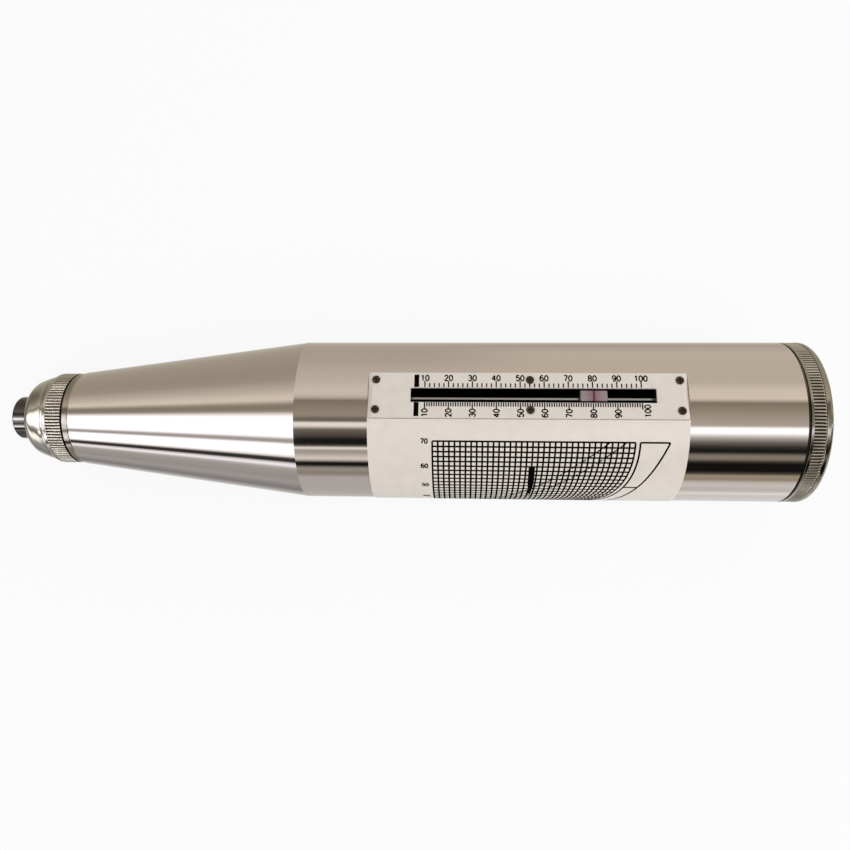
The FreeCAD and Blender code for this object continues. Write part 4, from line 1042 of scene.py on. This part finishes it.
# Rider and its rod: a clear moulded block slides on a ground rod under the slot, its foot below the
# panel painted near-black as painted shade. A red line across its middle shows the reading.
ROD_ENDS = (2.5, 87.3)
ROD_RADIUS = 0.8
ROD_HEIGHT = 22.55
RIDER_PLACE = 63.975
RIDER_HALF = (4.2, 1.7)
RIDER_SIDE = 0.05
RIDER_FOOT_TOP = 52.75
RIDER_LEVELS = (47.3, 53.35)
RIDER_EASE = 0.25
rod_steel = turned_metal("rod_steel", (0.40, 0.39, 0.38), roughness=0.25)
rod_profile = np.array([
    (ROD_ENDS[0], 0.0), (ROD_ENDS[0], ROD_RADIUS), (ROD_ENDS[1], ROD_RADIUS), (ROD_ENDS[1], 0.0),
])
rod_grid = around_axis(rod_profile[:, :1], rod_profile[:, 1:], np.linspace(0, 2 * math.pi, 49))
build("rider_rod_ground", [(rod_grid + [0, 0, ROD_HEIGHT], None, 0)], [rod_steel], "casing",
      ["rider_rod"], sharp=30)
clear, tree, out = new_material("clear_rider")
block = tree.nodes.new("ShaderNodeBsdfPrincipled")
block.inputs["Roughness"].default_value = 0.28
block.inputs["Transmission Weight"].default_value = 0.35
block.inputs["IOR"].default_value = 1.49
from_middle = calc(tree, "ABSOLUTE", calc(tree, "SUBTRACT", split_place(tree)["X"], RIDER_PLACE * MM))
line_share = calc(tree, "DIVIDE", from_middle, RIDER_HALF[0] * MM)
line_tones = [
    (0.0, screen(96, 20, 34)), (0.055, screen(104, 28, 42)), (0.10, screen(160, 118, 128)),
    (0.5, screen(168, 140, 150)), (0.8, screen(172, 160, 160)), (1.0, screen(160, 152, 150)),
]
tree.links.new(ramp(tree, line_share, line_tones), block.inputs["Base Color"])
tree.links.new(block.outputs[0], out.inputs["Surface"])
ends = (RIDER_PLACE - RIDER_HALF[0], RIDER_PLACE + RIDER_HALF[0])
inset = (ends[0] + RIDER_EASE, ends[1] - RIDER_EASE)
side_loop = rounded_loop(ends, RIDER_HALF[1], RIDER_EASE)
face_loop = rounded_loop(inset, RIDER_HALF[1] - RIDER_EASE, RIDER_EASE)
seam_loop = side_loop * [0, 0] + [RIDER_PLACE, 0.0]
block_rows = [
    at_level(seam_loop, RIDER_LEVELS[0]), at_level(face_loop, RIDER_LEVELS[0]),
    at_level(side_loop, RIDER_LEVELS[0] + RIDER_EASE), at_level(side_loop, RIDER_FOOT_TOP),
    at_level(side_loop, RIDER_LEVELS[1] - RIDER_EASE), at_level(face_loop, RIDER_LEVELS[1]),
    at_level(seam_loop, RIDER_LEVELS[1]),
]
block_grid = np.stack(block_rows) + [0, RIDER_SIDE, 0]
# The rider's foot below the panel is painted near-black as painted shade; only its top, in the slot, is
# clear.
rider_foot_painted_shade = plain_surface(
    "rider_foot_painted_shade", (screen(14, 13, 13), screen(24, 22, 22)), roughness=0.6, grain=1500.0, bump_height=0.00001,
)
build("rider_clear", [(block_grid[3:], None, 0), (block_grid[:4], None, 1)], [clear, rider_foot_painted_shade], "rider",
      ["rider_block"], sharp=30)

# Push button: a polished steel head in a black bush, on the side away from the chart. Pressed in,
# its latch stops the guide disk.
BUTTON_PLACE = 84.7
BUTTON_ANGLE = math.radians(140.0)
BUTTON_PROFILE = [
    (24.25, 0.0), (24.25, 2.6), (28.1, 2.6), (28.1, 4.8), (29.35, 4.8), (29.6, 4.7), (29.8, 4.4), (29.9, 3.9),
    (29.9, 0.0),
]
BUSH_PROFILE = [(25.3, 4.9), (25.3, 6.2), (27.4, 6.2), (27.8, 5.85), (27.8, 5.1), (27.6, 4.9)]


def at_button(profile, columns=96):
    """A profile of (height from the tool's axis, radius) carried round the button's own axis."""
    rows = np.array(profile, float)
    angle = np.linspace(0, 2 * math.pi, columns + 1)
    height, radius = rows[:, :1] + 0 * angle, rows[:, 1:]
    side = radius * np.sin(angle)
    out_y = height * math.sin(BUTTON_ANGLE) + side * math.cos(BUTTON_ANGLE)
    out_z = height * math.cos(BUTTON_ANGLE) - side * math.sin(BUTTON_ANGLE)
    return np.stack([BUTTON_PLACE + radius * np.cos(angle), out_y, AXIS + out_z], axis=-1)


bush_black = plain_surface(
    "bush_black", (screen(24, 24, 25), screen(36, 36, 37)), roughness=0.5, grain=1500.0, bump_height=0.00001,
)
build("button_head", [(at_button(BUTTON_PROFILE), None, 0)], [bright_metal], "button",
      ["push_button"], sharp=25)
build("button_ring", [(at_button(BUSH_PROFILE + BUSH_PROFILE[:1]), None, 0)], [bush_black], "casing",
      ["button_bush"], sharp=25)
